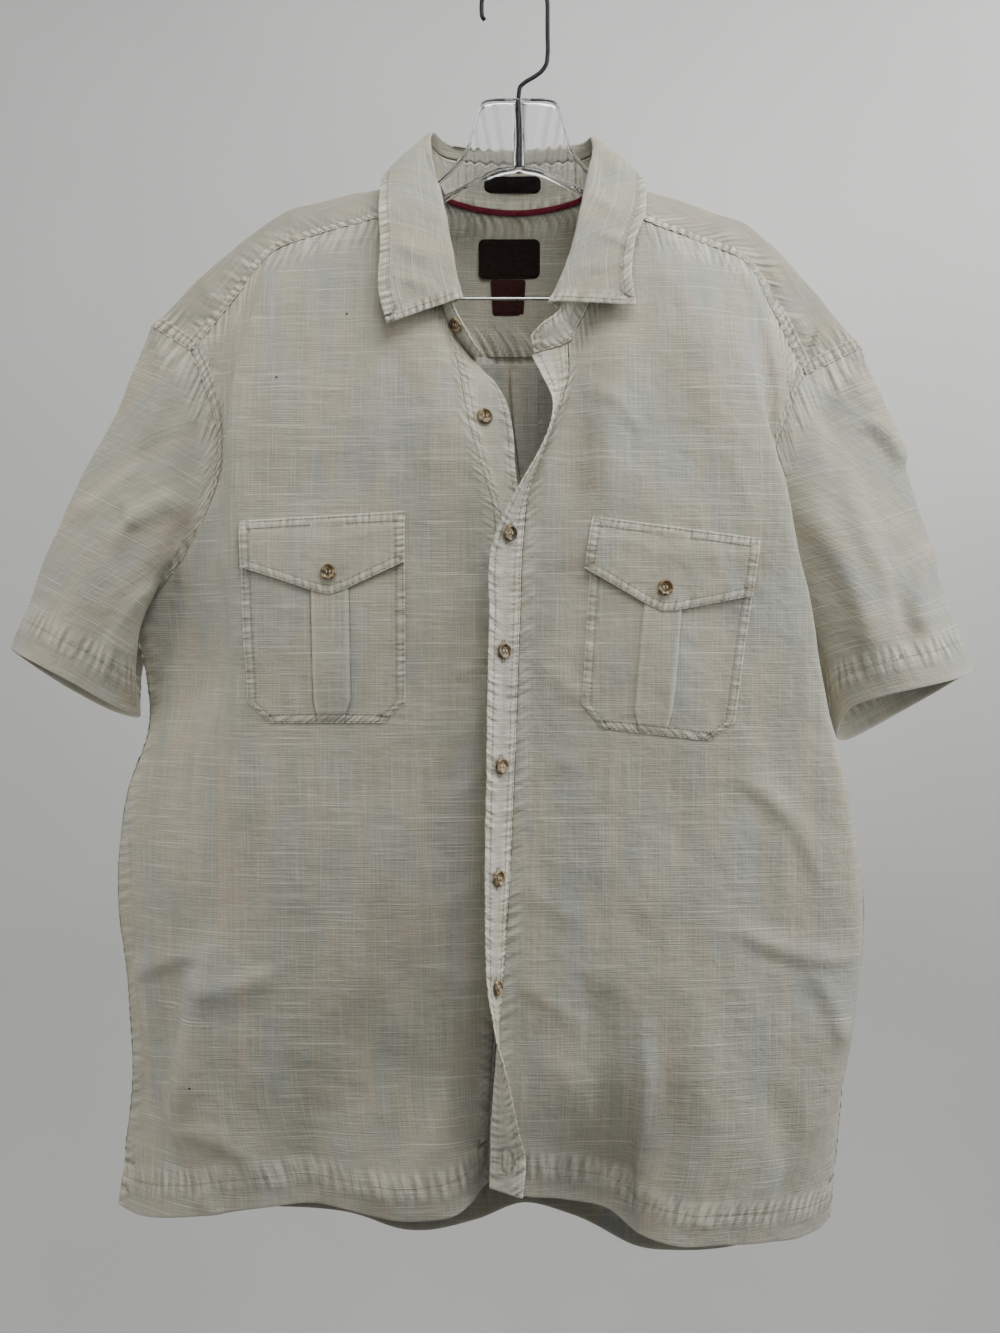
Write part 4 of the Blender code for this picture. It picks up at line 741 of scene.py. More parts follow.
def normal_of(surface, u, v, flip=1.0):
    """Unit normal by central differences."""
    step = 1e-3
    du = surface(np.clip(u + step, 0, 1), v) - surface(np.clip(u - step, 0, 1), v)
    dv = surface(u, np.clip(v + step, 0, 1)) - surface(u, np.clip(v - step, 0, 1))
    cross = np.cross(du, dv)
    return flip * cross / np.maximum(np.linalg.norm(cross, axis=-1, keepdims=True), 1e-12)


def locate(surface, x, z, u, v):
    """Surface parameters where it passes through x and z, by Newton steps from a first guess."""
    u, v = np.full(x.shape, float(u)), np.full(x.shape, float(v))
    step = 1e-3
    for _ in range(12):
        here = surface(u, v)
        du = (surface(u + step, v) - here) / step
        dv = (surface(u, v + step) - here) / step
        miss_x, miss_z = x - here[..., 0], z - here[..., 2]
        area = du[..., 0] * dv[..., 2] - dv[..., 0] * du[..., 2]
        area = np.where(np.abs(area) < 1e-9, 1e-9, area)
        step_u = (miss_x * dv[..., 2] - miss_z * dv[..., 0]) / area
        step_v = (miss_z * du[..., 0] - miss_x * du[..., 2]) / area
        u = np.clip(u + np.clip(step_u, -0.2, 0.2), 0.002, 0.997)
        v = np.clip(v + np.clip(step_v, -0.2, 0.2), 0.002, 0.997)
    return u, v


def lifted(surface, x, z, guess, height, flip=1.0):
    """Points at x and z on a surface, moved out along its normal by height."""
    u, v = locate(surface, x, z, *guess)
    return surface(u, v) + normal_of(surface, u, v, flip) * np.broadcast_to(height, x.shape)[..., None]


def quad(corners, a, b):
    """Level coordinates inside four corners: a from inner to outer, b from top to foot."""
    top_in, top_out, foot_in, foot_out = (np.array(c, float) for c in corners)
    a, b = a[..., None], b[..., None]
    top = top_in + (top_out - top_in) * a
    foot = foot_in + (foot_out - foot_in) * a
    return top + (foot - top) * b


def uneven(x, y, pitch, seed):
    """Smooth noise about zero: random heights on a square lattice, blended between with smooth steps."""
    lattice = np.random.default_rng(seed).uniform(-1, 1, (97, 89))
    x, y = np.asarray(x) / pitch, np.asarray(y) / pitch
    column, row = np.floor(x).astype(int), np.floor(y).astype(int)
    s, t = smooth_step(x - column), smooth_step(y - row)
    near = lattice[row % 97, column % 89] * (1 - s) + lattice[row % 97, (column + 1) % 89] * s
    far = lattice[(row + 1) % 97, column % 89] * (1 - s) + lattice[(row + 1) % 97, (column + 1) % 89] * s
    return near * (1 - t) + far * t


def creased(rows, x, z):
    """Sum of the creases: a bell across each bowed line, wider on one side, fading out at both ends."""
    height = np.zeros_like(x)
    for row in rows:
        run_x, run_z = row.x_end - row.x_start, row.z_end - row.z_start
        length = math.hypot(run_x, run_z)
        share = ((x - row.x_start) * run_x + (z - row.z_start) * run_z) / length**2
        across = ((z - row.z_start) * run_x - (x - row.x_start) * run_z) / length
        across = across - row.bow * 4 * share * (1 - share)
        width = row.half_width * np.where(across > 0, 1 + row.lean, 1 - row.lean)
        fade = smooth_step((share + 0.15) / 0.35) * smooth_step((1.15 - share) / 0.35)
        height += CREASE_DEPTH * row.height * fade * np.exp(-((across / width) ** 2))
    return height


def cloth_relief(rows, seed):
    """Height of a panel's cloth over its plain surface: its creases and the unevenness of washed cloth."""

    def relief(points):
        x, y, z = points[..., 0], points[..., 1], points[..., 2]
        flat = x + 0.6 * y
        soft = 1.3 * uneven(flat, z, 62, seed) + 0.95 * uneven(flat, z * 0.7, 27, seed + 1)
        fine = 0.34 * uneven(flat + 0.4 * z, z * 0.8, 12, seed + 2)
        return creased(rows, x, z) + soft + fine

    return relief


# One edge of a cloth grid: its rows of stitching, how high it puckers, the pitch and reach of the
# puckers, the height of its turned-up hem, and whether it is sewn to another panel
Edge = namedtuple("Edge", "stitches pucker pitch reach hem joined", defaults=((), 0.0, 6.0, 12.0, 0.0, False))
PLAIN = Edge()
Grid = namedtuple("Grid", "u v points normals across downward thickness grain seam worn closed flip")
FULL_PUCKER = 0.5
JOIN_FADE = 16.0
STITCH_GROOVE = 0.38


def spaced(length, start, end, fine, coarse):
    """Shares along a length: a rounded lip, fine steps near both ends and coarse steps between."""
    lip = np.array([0.0, 0.3, 0.9])
    first = np.arange(lip[-1] + fine, start, fine)
    last = length - np.arange(lip[-1] + fine, end, fine)
    low, high = max(start, lip[-1] + fine), length - max(end, lip[-1] + fine)
    middle = np.linspace(low, high, max(2, int((high - low) / coarse) + 2))
    lines = np.concatenate([lip, first, middle, last, length - lip])
    return np.unique(np.round(lines / length, 6))


def lengths(points, axis):
    """Length of cloth from the grid's first line to each of its points."""
    steps = np.linalg.norm(np.diff(points, axis=axis), axis=-1)
    start = np.zeros_like(np.take(steps, [0], axis))
    return np.concatenate([start, np.cumsum(steps, axis)], axis)


def normals_of(points, flip, closed):
    """Unit normals of a grid: the cross product of its steps across and down."""
    across, downward = np.gradient(points, axis=1), np.gradient(points, axis=0)
    if closed:
        across[:, 0] = across[:, -1] = (points[:, 1] - points[:, -2]) / 2
    cross = np.cross(across, downward)
    return flip * cross / np.maximum(np.linalg.norm(cross, axis=-1, keepdims=True), 1e-9)


def rippled(along_edge, away, pitch, seed):
    """Puckers: waves along the stitching, sine of the run over the pitch, with wandering phase and height."""
    phase = 2 * np.pi * along_edge / pitch + 3.0 * uneven(along_edge, away * 0.45, pitch * 3.1, seed)
    tall = 0.62 + 0.5 * uneven(along_edge, away * 0.2, pitch * 2.1, seed + 5)
    return tall * np.sin(phase) + 0.4 * uneven(along_edge, away * 0.15, pitch * 1.8, seed + 7)


def grain_of(points, across, downward, hung):
    """Cloth coordinates: on a hung panel upright in height and level in run, else its own lengths."""
    if not hung:
        middle = across.shape[1] // 2
        return np.stack([across - across[:, middle : middle + 1], downward[-1:] - downward], -1)
    level = np.linalg.norm(np.diff(points[..., :2], axis=1), axis=-1)
    level = np.concatenate([np.zeros((len(points), 1)), np.cumsum(level, 1)], 1)
    turned = 1.0 if (points[:, -1, 0] - points[:, 0, 0]).sum() > 0 else -1.0
    return np.stack([turned * points[:, :1, 0] + level, points[..., 2]], -1)


def cloth_grid(
    surface, us, vs, facing, relief=None, wall=1.0, edges=(PLAIN,) * 4,
    closed=False, seed=1, hung=False, marks=None,
):
    """Grid on a surface, raised along its normals by its relief, stitching, puckers and hems.

    edges are left, right, top and foot. facing is the side that shows, as a direction, or the point
    that the cloth faces away from. hung keeps the grain upright. marks(u, v) is added to the wear and
    painted light value, pale where it is positive and painted shade where it is negative.
    """
    u, v = np.meshgrid(us, vs)
    points = surface(u.ravel(), v.ravel()).reshape(u.shape + (3,))
    normals = normals_of(points, 1.0, closed)
    towards = np.array(facing[1], float) if facing[0] == "direction" else points - np.array(facing[1], float)
    flip = 1.0 if (normals * towards).sum() > 0 else -1.0
    normals = normals * flip
    across, downward = lengths(points, 1), lengths(points, 0)
    grain = grain_of(points, across, downward, hung)
    height = relief(points) if relief else np.zeros(u.shape)
    away = (across, across[:, -1:] - across, downward, downward[-1:] - downward)
    for edge, distance in zip(edges, away):
        if edge.joined:
            height *= 0.15 + 0.85 * smooth_step(distance / JOIN_FADE)
    runs = (downward, downward, across, across)
    thickness = np.full(u.shape, float(wall))
    seam, strongest, second = np.zeros(u.shape + (3,)), np.zeros(u.shape), np.zeros(u.shape)
    worn, painted_light_and_marks = np.zeros(u.shape), marks(u, v) if marks else np.zeros(u.shape)
    for number, (edge, distance, run) in enumerate(zip(edges, away, runs)):
        for stitch in edge.stitches:
            groove = np.exp(-(((distance - stitch) / 0.95) ** 2))
            height -= STITCH_GROOVE * groove
            # Painted shade: each stitch groove is darkened in colour as well as sunk
            painted_light_and_marks -= 0.5 * groove
        centre = edge.stitches[0] if edge.hem else 0
        strength = edge.pucker * np.exp(-(((distance - centre) / edge.reach) ** 4))
        ripple = rippled(run, distance, edge.pitch, seed * 11 + number)
        if closed:
            ripple = ripple * smooth_step(np.minimum(run, run[:, -1:] - run) / 9)
        height += strength * ripple
        # Painted light: pucker crests are made paler, partly as rubbed wear and partly as painted highlight,
        # and troughs darker as painted shade
        painted_light_and_marks += strength / FULL_PUCKER * ripple
        thickness += 0.9 * smooth_step((edge.hem - distance) / 1.2) * (edge.hem > 0)
        stronger = (strength > strongest)[..., None]
        seam = np.where(stronger, np.stack([run, distance, strength * 1000 / FULL_PUCKER], -1) * MM, seam)
        second = np.maximum(second, np.minimum(strongest, strength))
        strongest = np.maximum(strongest, strength)
        if edge.stitches or edge.hem:
            worn = np.maximum(worn, np.exp(-distance / 1.6))
        if not (closed and number < 2):
            thickness *= 0.45 + 0.55 * smooth_step(distance / 0.9)
    seam[..., 2] *= smooth_step((strongest - second) / np.maximum(strongest, 1e-6) / 0.5)
    points = points + normals * height[..., None]
    if closed:
        points[:, -1] = points[:, 0]
    normals = normals_of(points, flip, closed)
    # Signed value: pale edge wear and painted highlights on crests, painted shade in grooves and troughs
    worn = np.clip(worn + painted_light_and_marks, -1, 1)
    return Grid(u, v, points, normals, across, downward, thickness, grain, seam, worn, closed, flip)


def smooth_mesh(name, corners, faces):
    """Smooth-shaded mesh from corners in metres and lists of faces."""
    mesh = bpy.data.meshes.new(name)
    mesh.from_pydata(corners.tolist(), [], faces)
    mesh.shade_smooth()
    return mesh


def rim_faces(index, cells):
    """Faces round the open edges of a wall, from its outer sheet to its inner one."""
    top, foot, left, right = index[0], index[-1], index[:, 0], index[:, -1]
    runs = [(top[1:], top[:-1]), (foot[:-1], foot[1:])]
    if cells:
        runs += [(left[:-1], left[1:]), (right[1:], right[:-1])]
    return np.concatenate([np.stack([a, b, b + index.size, a + index.size], -1) for a, b in runs])


def shell(name, grid):
    """Closed mesh with a wall: the grid's points moved out and in by half their thickness."""
    index = np.arange(grid.u.size).reshape(grid.u.shape)
    outer = np.stack([index[:-1, :-1], index[:-1, 1:], index[1:, 1:], index[1:, :-1]], -1).reshape(-1, 4)
    corners = np.concatenate([outer, outer[:, ::-1] + index.size, rim_faces(index, not grid.closed)])
    if grid.flip < 0:
        corners = corners[:, ::-1]
    half = grid.normals * grid.thickness[..., None] / 2
    vertices = np.concatenate([(grid.points + half).reshape(-1, 3), (grid.points - half).reshape(-1, 3)]) * MM
    flat = np.tile(grid.grain.reshape(-1, 2), (2, 1)) * MM
    seam, worn = np.tile(grid.seam.reshape(-1, 3), (2, 1)), np.tile(grid.worn.ravel(), 2)
    used = np.arange(len(vertices))
    if grid.closed:
        joined = index.copy()
        joined[:, -1] = joined[:, 0]
        used = np.concatenate([joined.ravel(), joined.ravel() + index.size])
    kept, faces = np.unique(used[corners], return_inverse=True)
    mesh = smooth_mesh(name, vertices[kept], faces.reshape(-1, 4).tolist())
    mesh.uv_layers.new(name="flat").data.foreach_set("uv", flat[corners.ravel()].ravel())
    mesh.attributes.new("seam", "FLOAT_VECTOR", "POINT").data.foreach_set("vector", seam[kept].ravel())
    mesh.attributes.new("worn", "FLOAT", "POINT").data.foreach_set("value", worn[kept])
    return mesh


def placed(name, mesh, finish, replaces=()):
    """Object for a finished mesh, riding on the shirt's one body."""
    piece = bpy.data.objects.new(name, mesh)
    bpy.context.scene.collection.objects.link(piece)
    mesh.materials.clear()
    mesh.materials.append(bpy.data.materials[finish])
    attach(piece, "root")
    if replaces:
        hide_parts(*replaces)
    return piece


def sheet(name, grid, replaces=(), finish="shirting"):
    """Cloth piece from a grid; the grid is kept under the piece's name."""
    piece = placed(name, shell(name, grid), finish, replaces)
    GRIDS[name] = grid
    return piece


GRIDS = {}
FORWARDS = ("direction", (0, -1, 0))

# Kind of row for the width, length and area of a piece of cloth laid flat, as it was cut to what shows, in
# metres; no table fills it
CutRow = namedtuple("CutRow", "width length area")


def read_grid(grid, table, u, v):
    """Values of a grid's table at the parameters u and v, by two-way linear blending."""
    us, vs = grid.u[0], grid.v[:, 0]
    column = np.clip(np.searchsorted(us, u, side="right") - 1, 0, len(us) - 2)
    row = np.clip(np.searchsorted(vs, v, side="right") - 1, 0, len(vs) - 2)
    s = ((u - us[column]) / (us[column + 1] - us[column]))[..., None]
    t = ((v - vs[row]) / (vs[row + 1] - vs[row]))[..., None]
    near = table[row, column] * (1 - s) + table[row, column + 1] * s
    far = table[row + 1, column] * (1 - s) + table[row + 1, column + 1] * s
    return near * (1 - t) + far * t


def row_on(name, edge, distance, start=0.0, stop=1.0, side=1.0):
    """Stitch row on a cloth piece at a distance from one edge: its points and the way they face."""
    grid = GRIDS[name]
    share = np.linspace(start, stop, 400)
    lines, spans = (grid.v[:, 0], grid.across) if edge in ("left", "right") else (grid.u[0], grid.downward.T)
    total = np.interp(share, lines, spans[:, -1])
    inwards = distance / total
    other = inwards if edge in ("left", "top") else 1 - inwards
    u, v = (other, share) if edge in ("left", "right") else (share, other)
    u = grid.u[0, 0] + u * (grid.u[0, -1] - grid.u[0, 0])
    v = grid.v[0, 0] + v * (grid.v[-1, 0] - grid.v[0, 0])
    points, out = read_grid(grid, grid.points, u, v), read_grid(grid, grid.normals, u, v) * side
    half = read_grid(grid, grid.thickness[..., None], u, v) / 2
    return points + out * half, out


def stitch_mesh(name, rows, pitch, length, radius):
    """Lock stitches along rows: each a short three-sided thread whose ends dip into the cloth."""
    offsets = np.array([-0.5, -0.3, 0.3, 0.5]) * length
    heights, widths = np.array([-0.1, 0.22, 0.22, -0.1]), np.array([0.55, 1, 1, 0.55]) * radius
    turns = np.array([1 / 6, 5 / 6, 9 / 6]) * np.pi
    vertices, faces, first = [], [], 0
    for points, out in rows:
        along_row = lengths(points[None], 1)[0]
        middles = np.arange(pitch, along_row[-1] - pitch / 2, pitch)
        if not len(middles):
            continue
        at = middles[:, None] + offsets
        place = np.stack([np.interp(at, along_row, points[:, i]) for i in range(3)], -1)
        rise = unit(np.stack([np.interp(at, along_row, out[:, i]) for i in range(3)], -1))
        run = place[:, -1:] - place[:, :1]
        side = np.cross(unit(run), rise)
        place = place + rise * heights[:, None]
        ring = side[:, :, None] * np.cos(turns)[:, None] + rise[:, :, None] * np.sin(turns)[:, None]
        rings = place[:, :, None] + ring * widths[:, None, None]
        start = first + np.arange(len(middles))[:, None, None] * 12 + np.arange(3)[:, None] * 3
        a, b = np.arange(3), np.roll(np.arange(3), -1)
        walls = np.stack([start + a, start + b, start + b + 3, start + a + 3], -1).reshape(-1, 4)
        begin = first + np.arange(len(middles))[:, None] * 12
        ends = np.concatenate([begin + np.array([2, 1, 0]), begin + np.array([9, 10, 11])])
        vertices.append(rings.reshape(-1, 3))
        faces += walls.tolist() + ends.tolist()
        first += len(middles) * 12
    return smooth_mesh(name, np.concatenate(vertices) * MM, faces)


def ring_faces(count, sides, loop=False):
    """Faces between rings of corners: closed by a lid at each end, or carried round a loop."""
    a, b = np.arange(sides), np.roll(np.arange(sides), -1)
    start = np.arange(count if loop else count - 1)[:, None] * sides
    after = (start + sides) % (count * sides)
    faces = np.stack([start + b, start + a, after + a, after + b], -1).reshape(-1, 4).tolist()
    last = (count - 1) * sides
    if not loop:
        faces += [list(range(sides)), list(range(last + sides - 1, last - 1, -1))]
    return faces


def tube(path, radii, sides=10, loop=False):
    """Corners and faces of a tube: a circle of each radius carried square to a path, or round a loop."""
    path = np.array(path, float)
    run = unit(np.roll(path, -1, 0) - np.roll(path, 1, 0) if loop else np.gradient(path, axis=0))
    guide = np.array([0.0, 1.0, 0.0]) if abs(run[:, 1]).max() < 0.9 else np.array([0.31, 0.2, 0.93])
    side = unit(np.cross(run, guide))
    rise = np.cross(side, run)
    turns = np.linspace(0, 2 * np.pi, sides, endpoint=False)
    rings = side[:, None] * np.cos(turns)[:, None] + rise[:, None] * np.sin(turns)[:, None]
    rings = path[:, None] + rings * np.broadcast_to(radii, len(path))[:, None, None]
    return rings.reshape(-1, 3), ring_faces(len(path), sides, loop)


def joined_mesh(name, shapes):
    """One smooth mesh from several lists of corners and faces."""
    vertices, faces, first = [], [], 0
    for corners, sides in shapes:
        vertices.append(corners)
        faces += [[corner + first for corner in face] for face in sides]
        first += len(corners)
    return smooth_mesh(name, np.concatenate(vertices) * MM, faces)


def new_material(name):
    """Empty node tree with a Principled shader and its output, under a new material's name."""
    made = bpy.data.materials.new(name)
    made.use_nodes = True
    return made, made.node_tree, made.node_tree.nodes["Principled BSDF"]


def put(tree, socket, value):
    """Link a socket to another node's output, or set it to a value."""
    if isinstance(value, bpy.types.NodeSocket):
        tree.links.new(value, socket)
    else:
        socket.default_value = value


def feed(tree, target, **values):
    """Put values into a node's properties and sockets, by name."""
    for key, value in values.items():
        if hasattr(target, key):
            setattr(target, key, value)
        else:
            put(tree, target.inputs[key.replace("_", " ")], value)
    return target


def node(tree, kind, **values):
    """New shader node, fed by name."""
    return feed(tree, tree.nodes.new(kind), **values)


def worked(tree, kind, operation, *values):
    """Value of a Math or a Vector Math node, fed in order."""
    made = node(tree, kind, operation=operation)
    for socket, value in zip(made.inputs, values):
        put(tree, socket, value)
    return made.outputs["Value"]


def product(tree, first, second):
    """first x second."""
    return worked(tree, "ShaderNodeMath", "MULTIPLY", first, second)


def attribute(tree, name, output="Fac"):
    """A mesh attribute's value."""
    return node(tree, "ShaderNodeAttribute", attribute_name=name).outputs[output]


def mottled(tree, scale, detail, distortion=0.0):
    """Noise in the piece's own space, in marks a metre by the scale."""
    place = node(tree, "ShaderNodeTexCoord").outputs["Object"]
    noise = node(tree, "ShaderNodeTexNoise", Vector=place, Scale=scale, Detail=detail, Distortion=distortion)
    return noise.outputs["Fac"]


def streaks(tree, coordinates, scale, detail=2.0):
    """Noise read on stretched cloth coordinates, in streaks a metre by the scale."""
    stretch = node(tree, "ShaderNodeMapping", Vector=coordinates, Scale=scale)
    noise = node(
        tree, "ShaderNodeTexNoise", noise_dimensions="2D", Vector=stretch.outputs["Vector"],
        Scale=1.0, Detail=detail, Roughness=0.55,
    )
    return noise.outputs["Fac"]


def ranged(tree, value, low, high, to_low=0.0, to_high=1.0):
    """Value moved from one range to another, held at its ends."""
    made = node(
        tree, "ShaderNodeMapRange", Value=value,
        From_Min=low, From_Max=high, To_Min=to_low, To_Max=to_high,
    )
    return made.outputs["Result"]


def tinted(tree, factor, under, over):
    """Colour under, mixed towards the colour over by the factor."""
    made = node(tree, "ShaderNodeMix", data_type="RGBA", Factor=factor)
    for socket, colour in ((made.inputs[6], under), (made.inputs[7], over)):
        put(tree, socket, colour if isinstance(colour, bpy.types.NodeSocket) else (*colour, 1))
    return made.outputs[2]


def bumped(tree, height, distance, normal=None):
    """Normal tilted by a height of the given distance, over an earlier normal if there is one."""
    made = node(tree, "ShaderNodeBump", Strength=1.0, Distance=distance, Height=height)
    if normal:
        put(tree, made.inputs["Normal"], normal)
    return made.outputs["Normal"]


# One colour laid over the cloth where a mask passes from low to high, up to a share
LayerRow = namedtuple("LayerRow", "mask low high share over")

# Tiny dark specks in the fronts' weave, seen through the cloth's depth
SPECKS = rows_of(Place, (-187.7, -59, -338.7), (-132.8, -54, -287.7), (-253.5, -73, -894.5))
SPECK_COLOUR = (0.045, 0.04, 0.035)
SPECK_DEPTH = 0.04
SPECK_RADIUS = 0.0012


def make_shirting(name, colours, worn_share):
    """Washed slub cloth: cross-dyed blocks, pale thick yarns both ways, puckers and pale worn-looking edges.

    Pucker crests are paler, partly rubbed wear and partly painted highlight, and painted shade darkens
    pucker troughs, stitch grooves and any cloth whose wear value is negative.
    """
    made, tree, shader = new_material(name)
    flat = node(tree, "ShaderNodeUVMap", uv_map="flat").outputs["UV"]
    weft = streaks(tree, flat, (26, 1050, 1), 3.0)
    long_weft = streaks(tree, flat, (9, 620, 1))
    warp = streaks(tree, flat, (760, 16, 1), 3.0)
    bands = streaks(tree, flat, (55, 3.0, 1))
    blocks = streaks(tree, flat, (34, 9, 1))
    patches = streaks(tree, flat, (13, 9, 1))
    seam, worn = attribute(tree, "seam", "Vector"), attribute(tree, "worn")
    pucker = streaks(tree, seam, (150, 26, 1), 1.0)
    strength = ranged(tree, node(tree, "ShaderNodeSeparateXYZ", Vector=seam).outputs["Z"], 0.0, 1.0)
    # Pale streaks where the pucker bump is high: partly rubbed wear, partly painted highlight on the ridges
    rubbed = product(tree, ranged(tree, pucker, 0.45, 0.65), strength)
    colour = colours.green
    for row in rows_of(
        LayerRow, (bands, 0.36, 0.64, 1.0, colours.beige), (blocks, 0.48, 0.66, 0.75, colours.blue),
        (patches, 0.5, 0.75, 0.5, colours.beige), (warp, 0.54, 0.76, 0.42, colours.slub),
        (warp, 0.5, 0.25, 0.2, colours.shade), (weft, 0.5, 0.25, 0.17, colours.shade),
        (weft, 0.63, 0.78, 0.75, colours.slub), (long_weft, 0.62, 0.72, 0.75, colours.slub),
        # Positive wear value: pale edge wear, with painted highlights on pucker crests
        (rubbed, 0.0, 1.0, 0.6, colours.worn), (worn, 0.0, 1.0, worn_share, colours.worn),
        # Painted shade: the negative wear value darkens stitch grooves, pucker troughs, pleat steps and the
        # yoke
        (worn, 0.0, -1.0, 0.85, colours.shade),
    ):
        colour = tinted(tree, ranged(tree, row.mask, row.low, row.high, 0.0, row.share), colour, row.over)
    place = node(tree, "ShaderNodeTexCoord").outputs["Object"]
    place = node(tree, "ShaderNodeMapping", Vector=place, Scale=(1.0, SPECK_DEPTH, 1.0)).outputs["Vector"]
    for row in SPECKS:
        middle = (row.x * MM, row.y * MM * SPECK_DEPTH, row.z * MM)
        away = worked(tree, "ShaderNodeVectorMath", "DISTANCE", place, middle)
        colour = tinted(tree, ranged(tree, away, SPECK_RADIUS, SPECK_RADIUS / 2), colour, SPECK_COLOUR)
    yarn = worked(tree, "ShaderNodeMath", "MULTIPLY_ADD", warp, 0.25, weft)
    normal = bumped(tree, yarn, 0.0005)
    normal = bumped(tree, streaks(tree, flat, (60, 60, 1), 3.0), 0.0013, normal)
    normal = bumped(tree, product(tree, pucker, strength), 0.0030, normal)
    feed(tree, shader, Base_Color=colour, Normal=normal, Roughness=0.88, Specular_IOR_Level=0.25)
    feed(tree, shader, Sheen_Weight=0.12, Sheen_Roughness=0.5)
    return made


def make_plain_cloth(name, dark, light, weave):
    """Label or tape: a fine close weave in two near shades of one colour, rubbed paler at its edges."""
    made, tree, shader = new_material(name)
    flat = node(tree, "ShaderNodeUVMap", uv_map="flat").outputs["UV"]
    across = streaks(tree, flat, (weave * 0.2, weave, 1))
    mottle = streaks(tree, flat, (160, 160, 1), 4.0)
    colour = tinted(tree, ranged(tree, across, 0.35, 0.65), dark, light)
    colour = tinted(tree, ranged(tree, mottle, 0.5, 0.75, 0.0, 0.6), colour, light)
    rubbed = tuple(min(1, channel * 2.2) for channel in light)
    colour = tinted(tree, ranged(tree, attribute(tree, "worn"), 0.2, 1.0, 0.0, 0.5), colour, rubbed)
    normal = bumped(tree, across, 0.0003)
    feed(tree, shader, Base_Color=colour, Normal=normal, Roughness=0.85, Specular_IOR_Level=0.15)
    return made


def make_horn(name, dark, mid, light):
    """Button horn: streaky brown and tan, polished, with painted shade darkening its four holes."""
    made, tree, shader = new_material(name)
    streak = mottled(tree, 190.0, 3.0, 1.2)
    colour = tinted(tree, ranged(tree, streak, 0.35, 0.52), dark, mid)
    colour = tinted(tree, ranged(tree, streak, 0.52, 0.68), colour, light)
    # Painted shade: the hole mask darkens the four holes almost to black
    colour = tinted(tree, attribute(tree, "worn"), colour, (0.02, 0.013, 0.008))
    feed(tree, shader, Base_Color=colour, Roughness=0.28, Coat_Weight=0.25)
    return made


def make_thread(name, colour):
    """Sewing thread, darker between its twists as painted shade in the hollows of its bump."""
    made, tree, shader = new_material(name)
    twist = mottled(tree, 1400.0, 1.0)
    darker = tuple(channel * 0.72 for channel in colour)
    # Painted shade: the thread is darker where its twist bump lies low
    twisted = tinted(tree, ranged(tree, twist, 0.35, 0.65), darker, colour)
    feed(tree, shader, Base_Color=twisted, Normal=bumped(tree, twist, 0.0001), Roughness=0.6)
    return made


def make_clear_plastic(name, tint):
    """Clear moulded plastic, faintly scratched."""
    made, tree, shader = new_material(name)
    scratched = ranged(tree, mottled(tree, 60.0, 5.0), 0.45, 0.75, 0.04, 0.2)
    feed(tree, shader, Base_Color=(*tint, 1), Roughness=scratched, Transmission_Weight=1.0, IOR=1.46)
    return made


def make_metal(name, colour, metallic, rough):
    """Wire: coated or drawn metal with fine marks along it."""
    made, tree, shader = new_material(name)
    marks = mottled(tree, 320.0, 3.0)
    lighter = tuple(min(1.0, channel * 1.35 + 0.01) for channel in colour)
    marked = tinted(tree, ranged(tree, marks, 0.4, 0.7), colour, lighter)
    uneven_shine = ranged(tree, marks, 0.3, 0.7, rough - 0.06, rough + 0.1)
    feed(tree, shader, Base_Color=marked, Roughness=uneven_shine, Metallic=metallic)
    return made


def size_setting(name, description, default, **limits):
    """A panel's number."""
    return bpy.props.FloatProperty(name=name, description=description, default=default, **limits)


def colour_setting(name, description, default):
    """A panel's colour."""
    return bpy.props.FloatVectorProperty(
        name=name, description=description, subtype="COLOR", default=default
    )


class ShirtSizes(bpy.types.PropertyGroup):
    """Sizes and colours of the shirt's finishes that a user would change."""

    stitch_pitch: size_setting("Stitch pitch", "One stitch and its gap, in millimetres", 3.2, min=1.5)
    stitch_length: size_setting("Stitch length", "Length of thread that shows, in millimetres", 2.5, min=1.0)
    thread_radius: size_setting("Thread radius", "Half its width, in millimetres", 0.27, min=0.1)
    green: colour_setting("Green yarn", "Grey-green blocks of the cloth", (0.385, 0.385, 0.315))
    beige: colour_setting("Beige yarn", "Warmer blocks of the cloth", (0.455, 0.415, 0.325))
    blue: colour_setting("Blue-grey yarn", "Cooler blocks of the cloth", (0.365, 0.385, 0.36))
    slub: colour_setting("Slub yarn", "Thick pale yarns", (0.62, 0.60, 0.51))
    # Thin yarn colour, also laid as painted shade where the wear value is negative
    shade: colour_setting("Thin yarn", "Thin dark yarns", (0.25, 0.24, 0.185))
    # Pale wear colour, also laid as painted highlight on pucker crests and ridges
    worn: colour_setting("Worn edge", "Cloth rubbed pale", (0.72, 0.70, 0.60))
    thread: colour_setting("Thread", "Sewing thread", (0.36, 0.335, 0.26))


class StageSizes(bpy.types.PropertyGroup):
    """The studio's size, light and camera."""

    wall_radius: size_setting("Wall radius", "Radius of the round backdrop", 5.0, unit="LENGTH")
    floor_drop: size_setting("Floor drop", "Height of the rail above the floor", 3.4, unit="LENGTH")
    wall: colour_setting("Wall", "Paint of the backdrop", (0.74, 0.74, 0.73))
    lamp_power: size_setting("Lamp power", "What the lamps' shares are of, in watts", 19.5, min=0.0)
    focal: size_setting("Focal length", "Camera lens, in millimetres on a 36 mm sensor", 49.5)


def turned_up(height, stitches, pucker, pitch, reach=11.0):
    """A hem's edge: its height turned up and sewn, puckered about its stitching."""
    return Edge(stitches=stitches, pucker=pucker, pitch=pitch, reach=reach, hem=height)


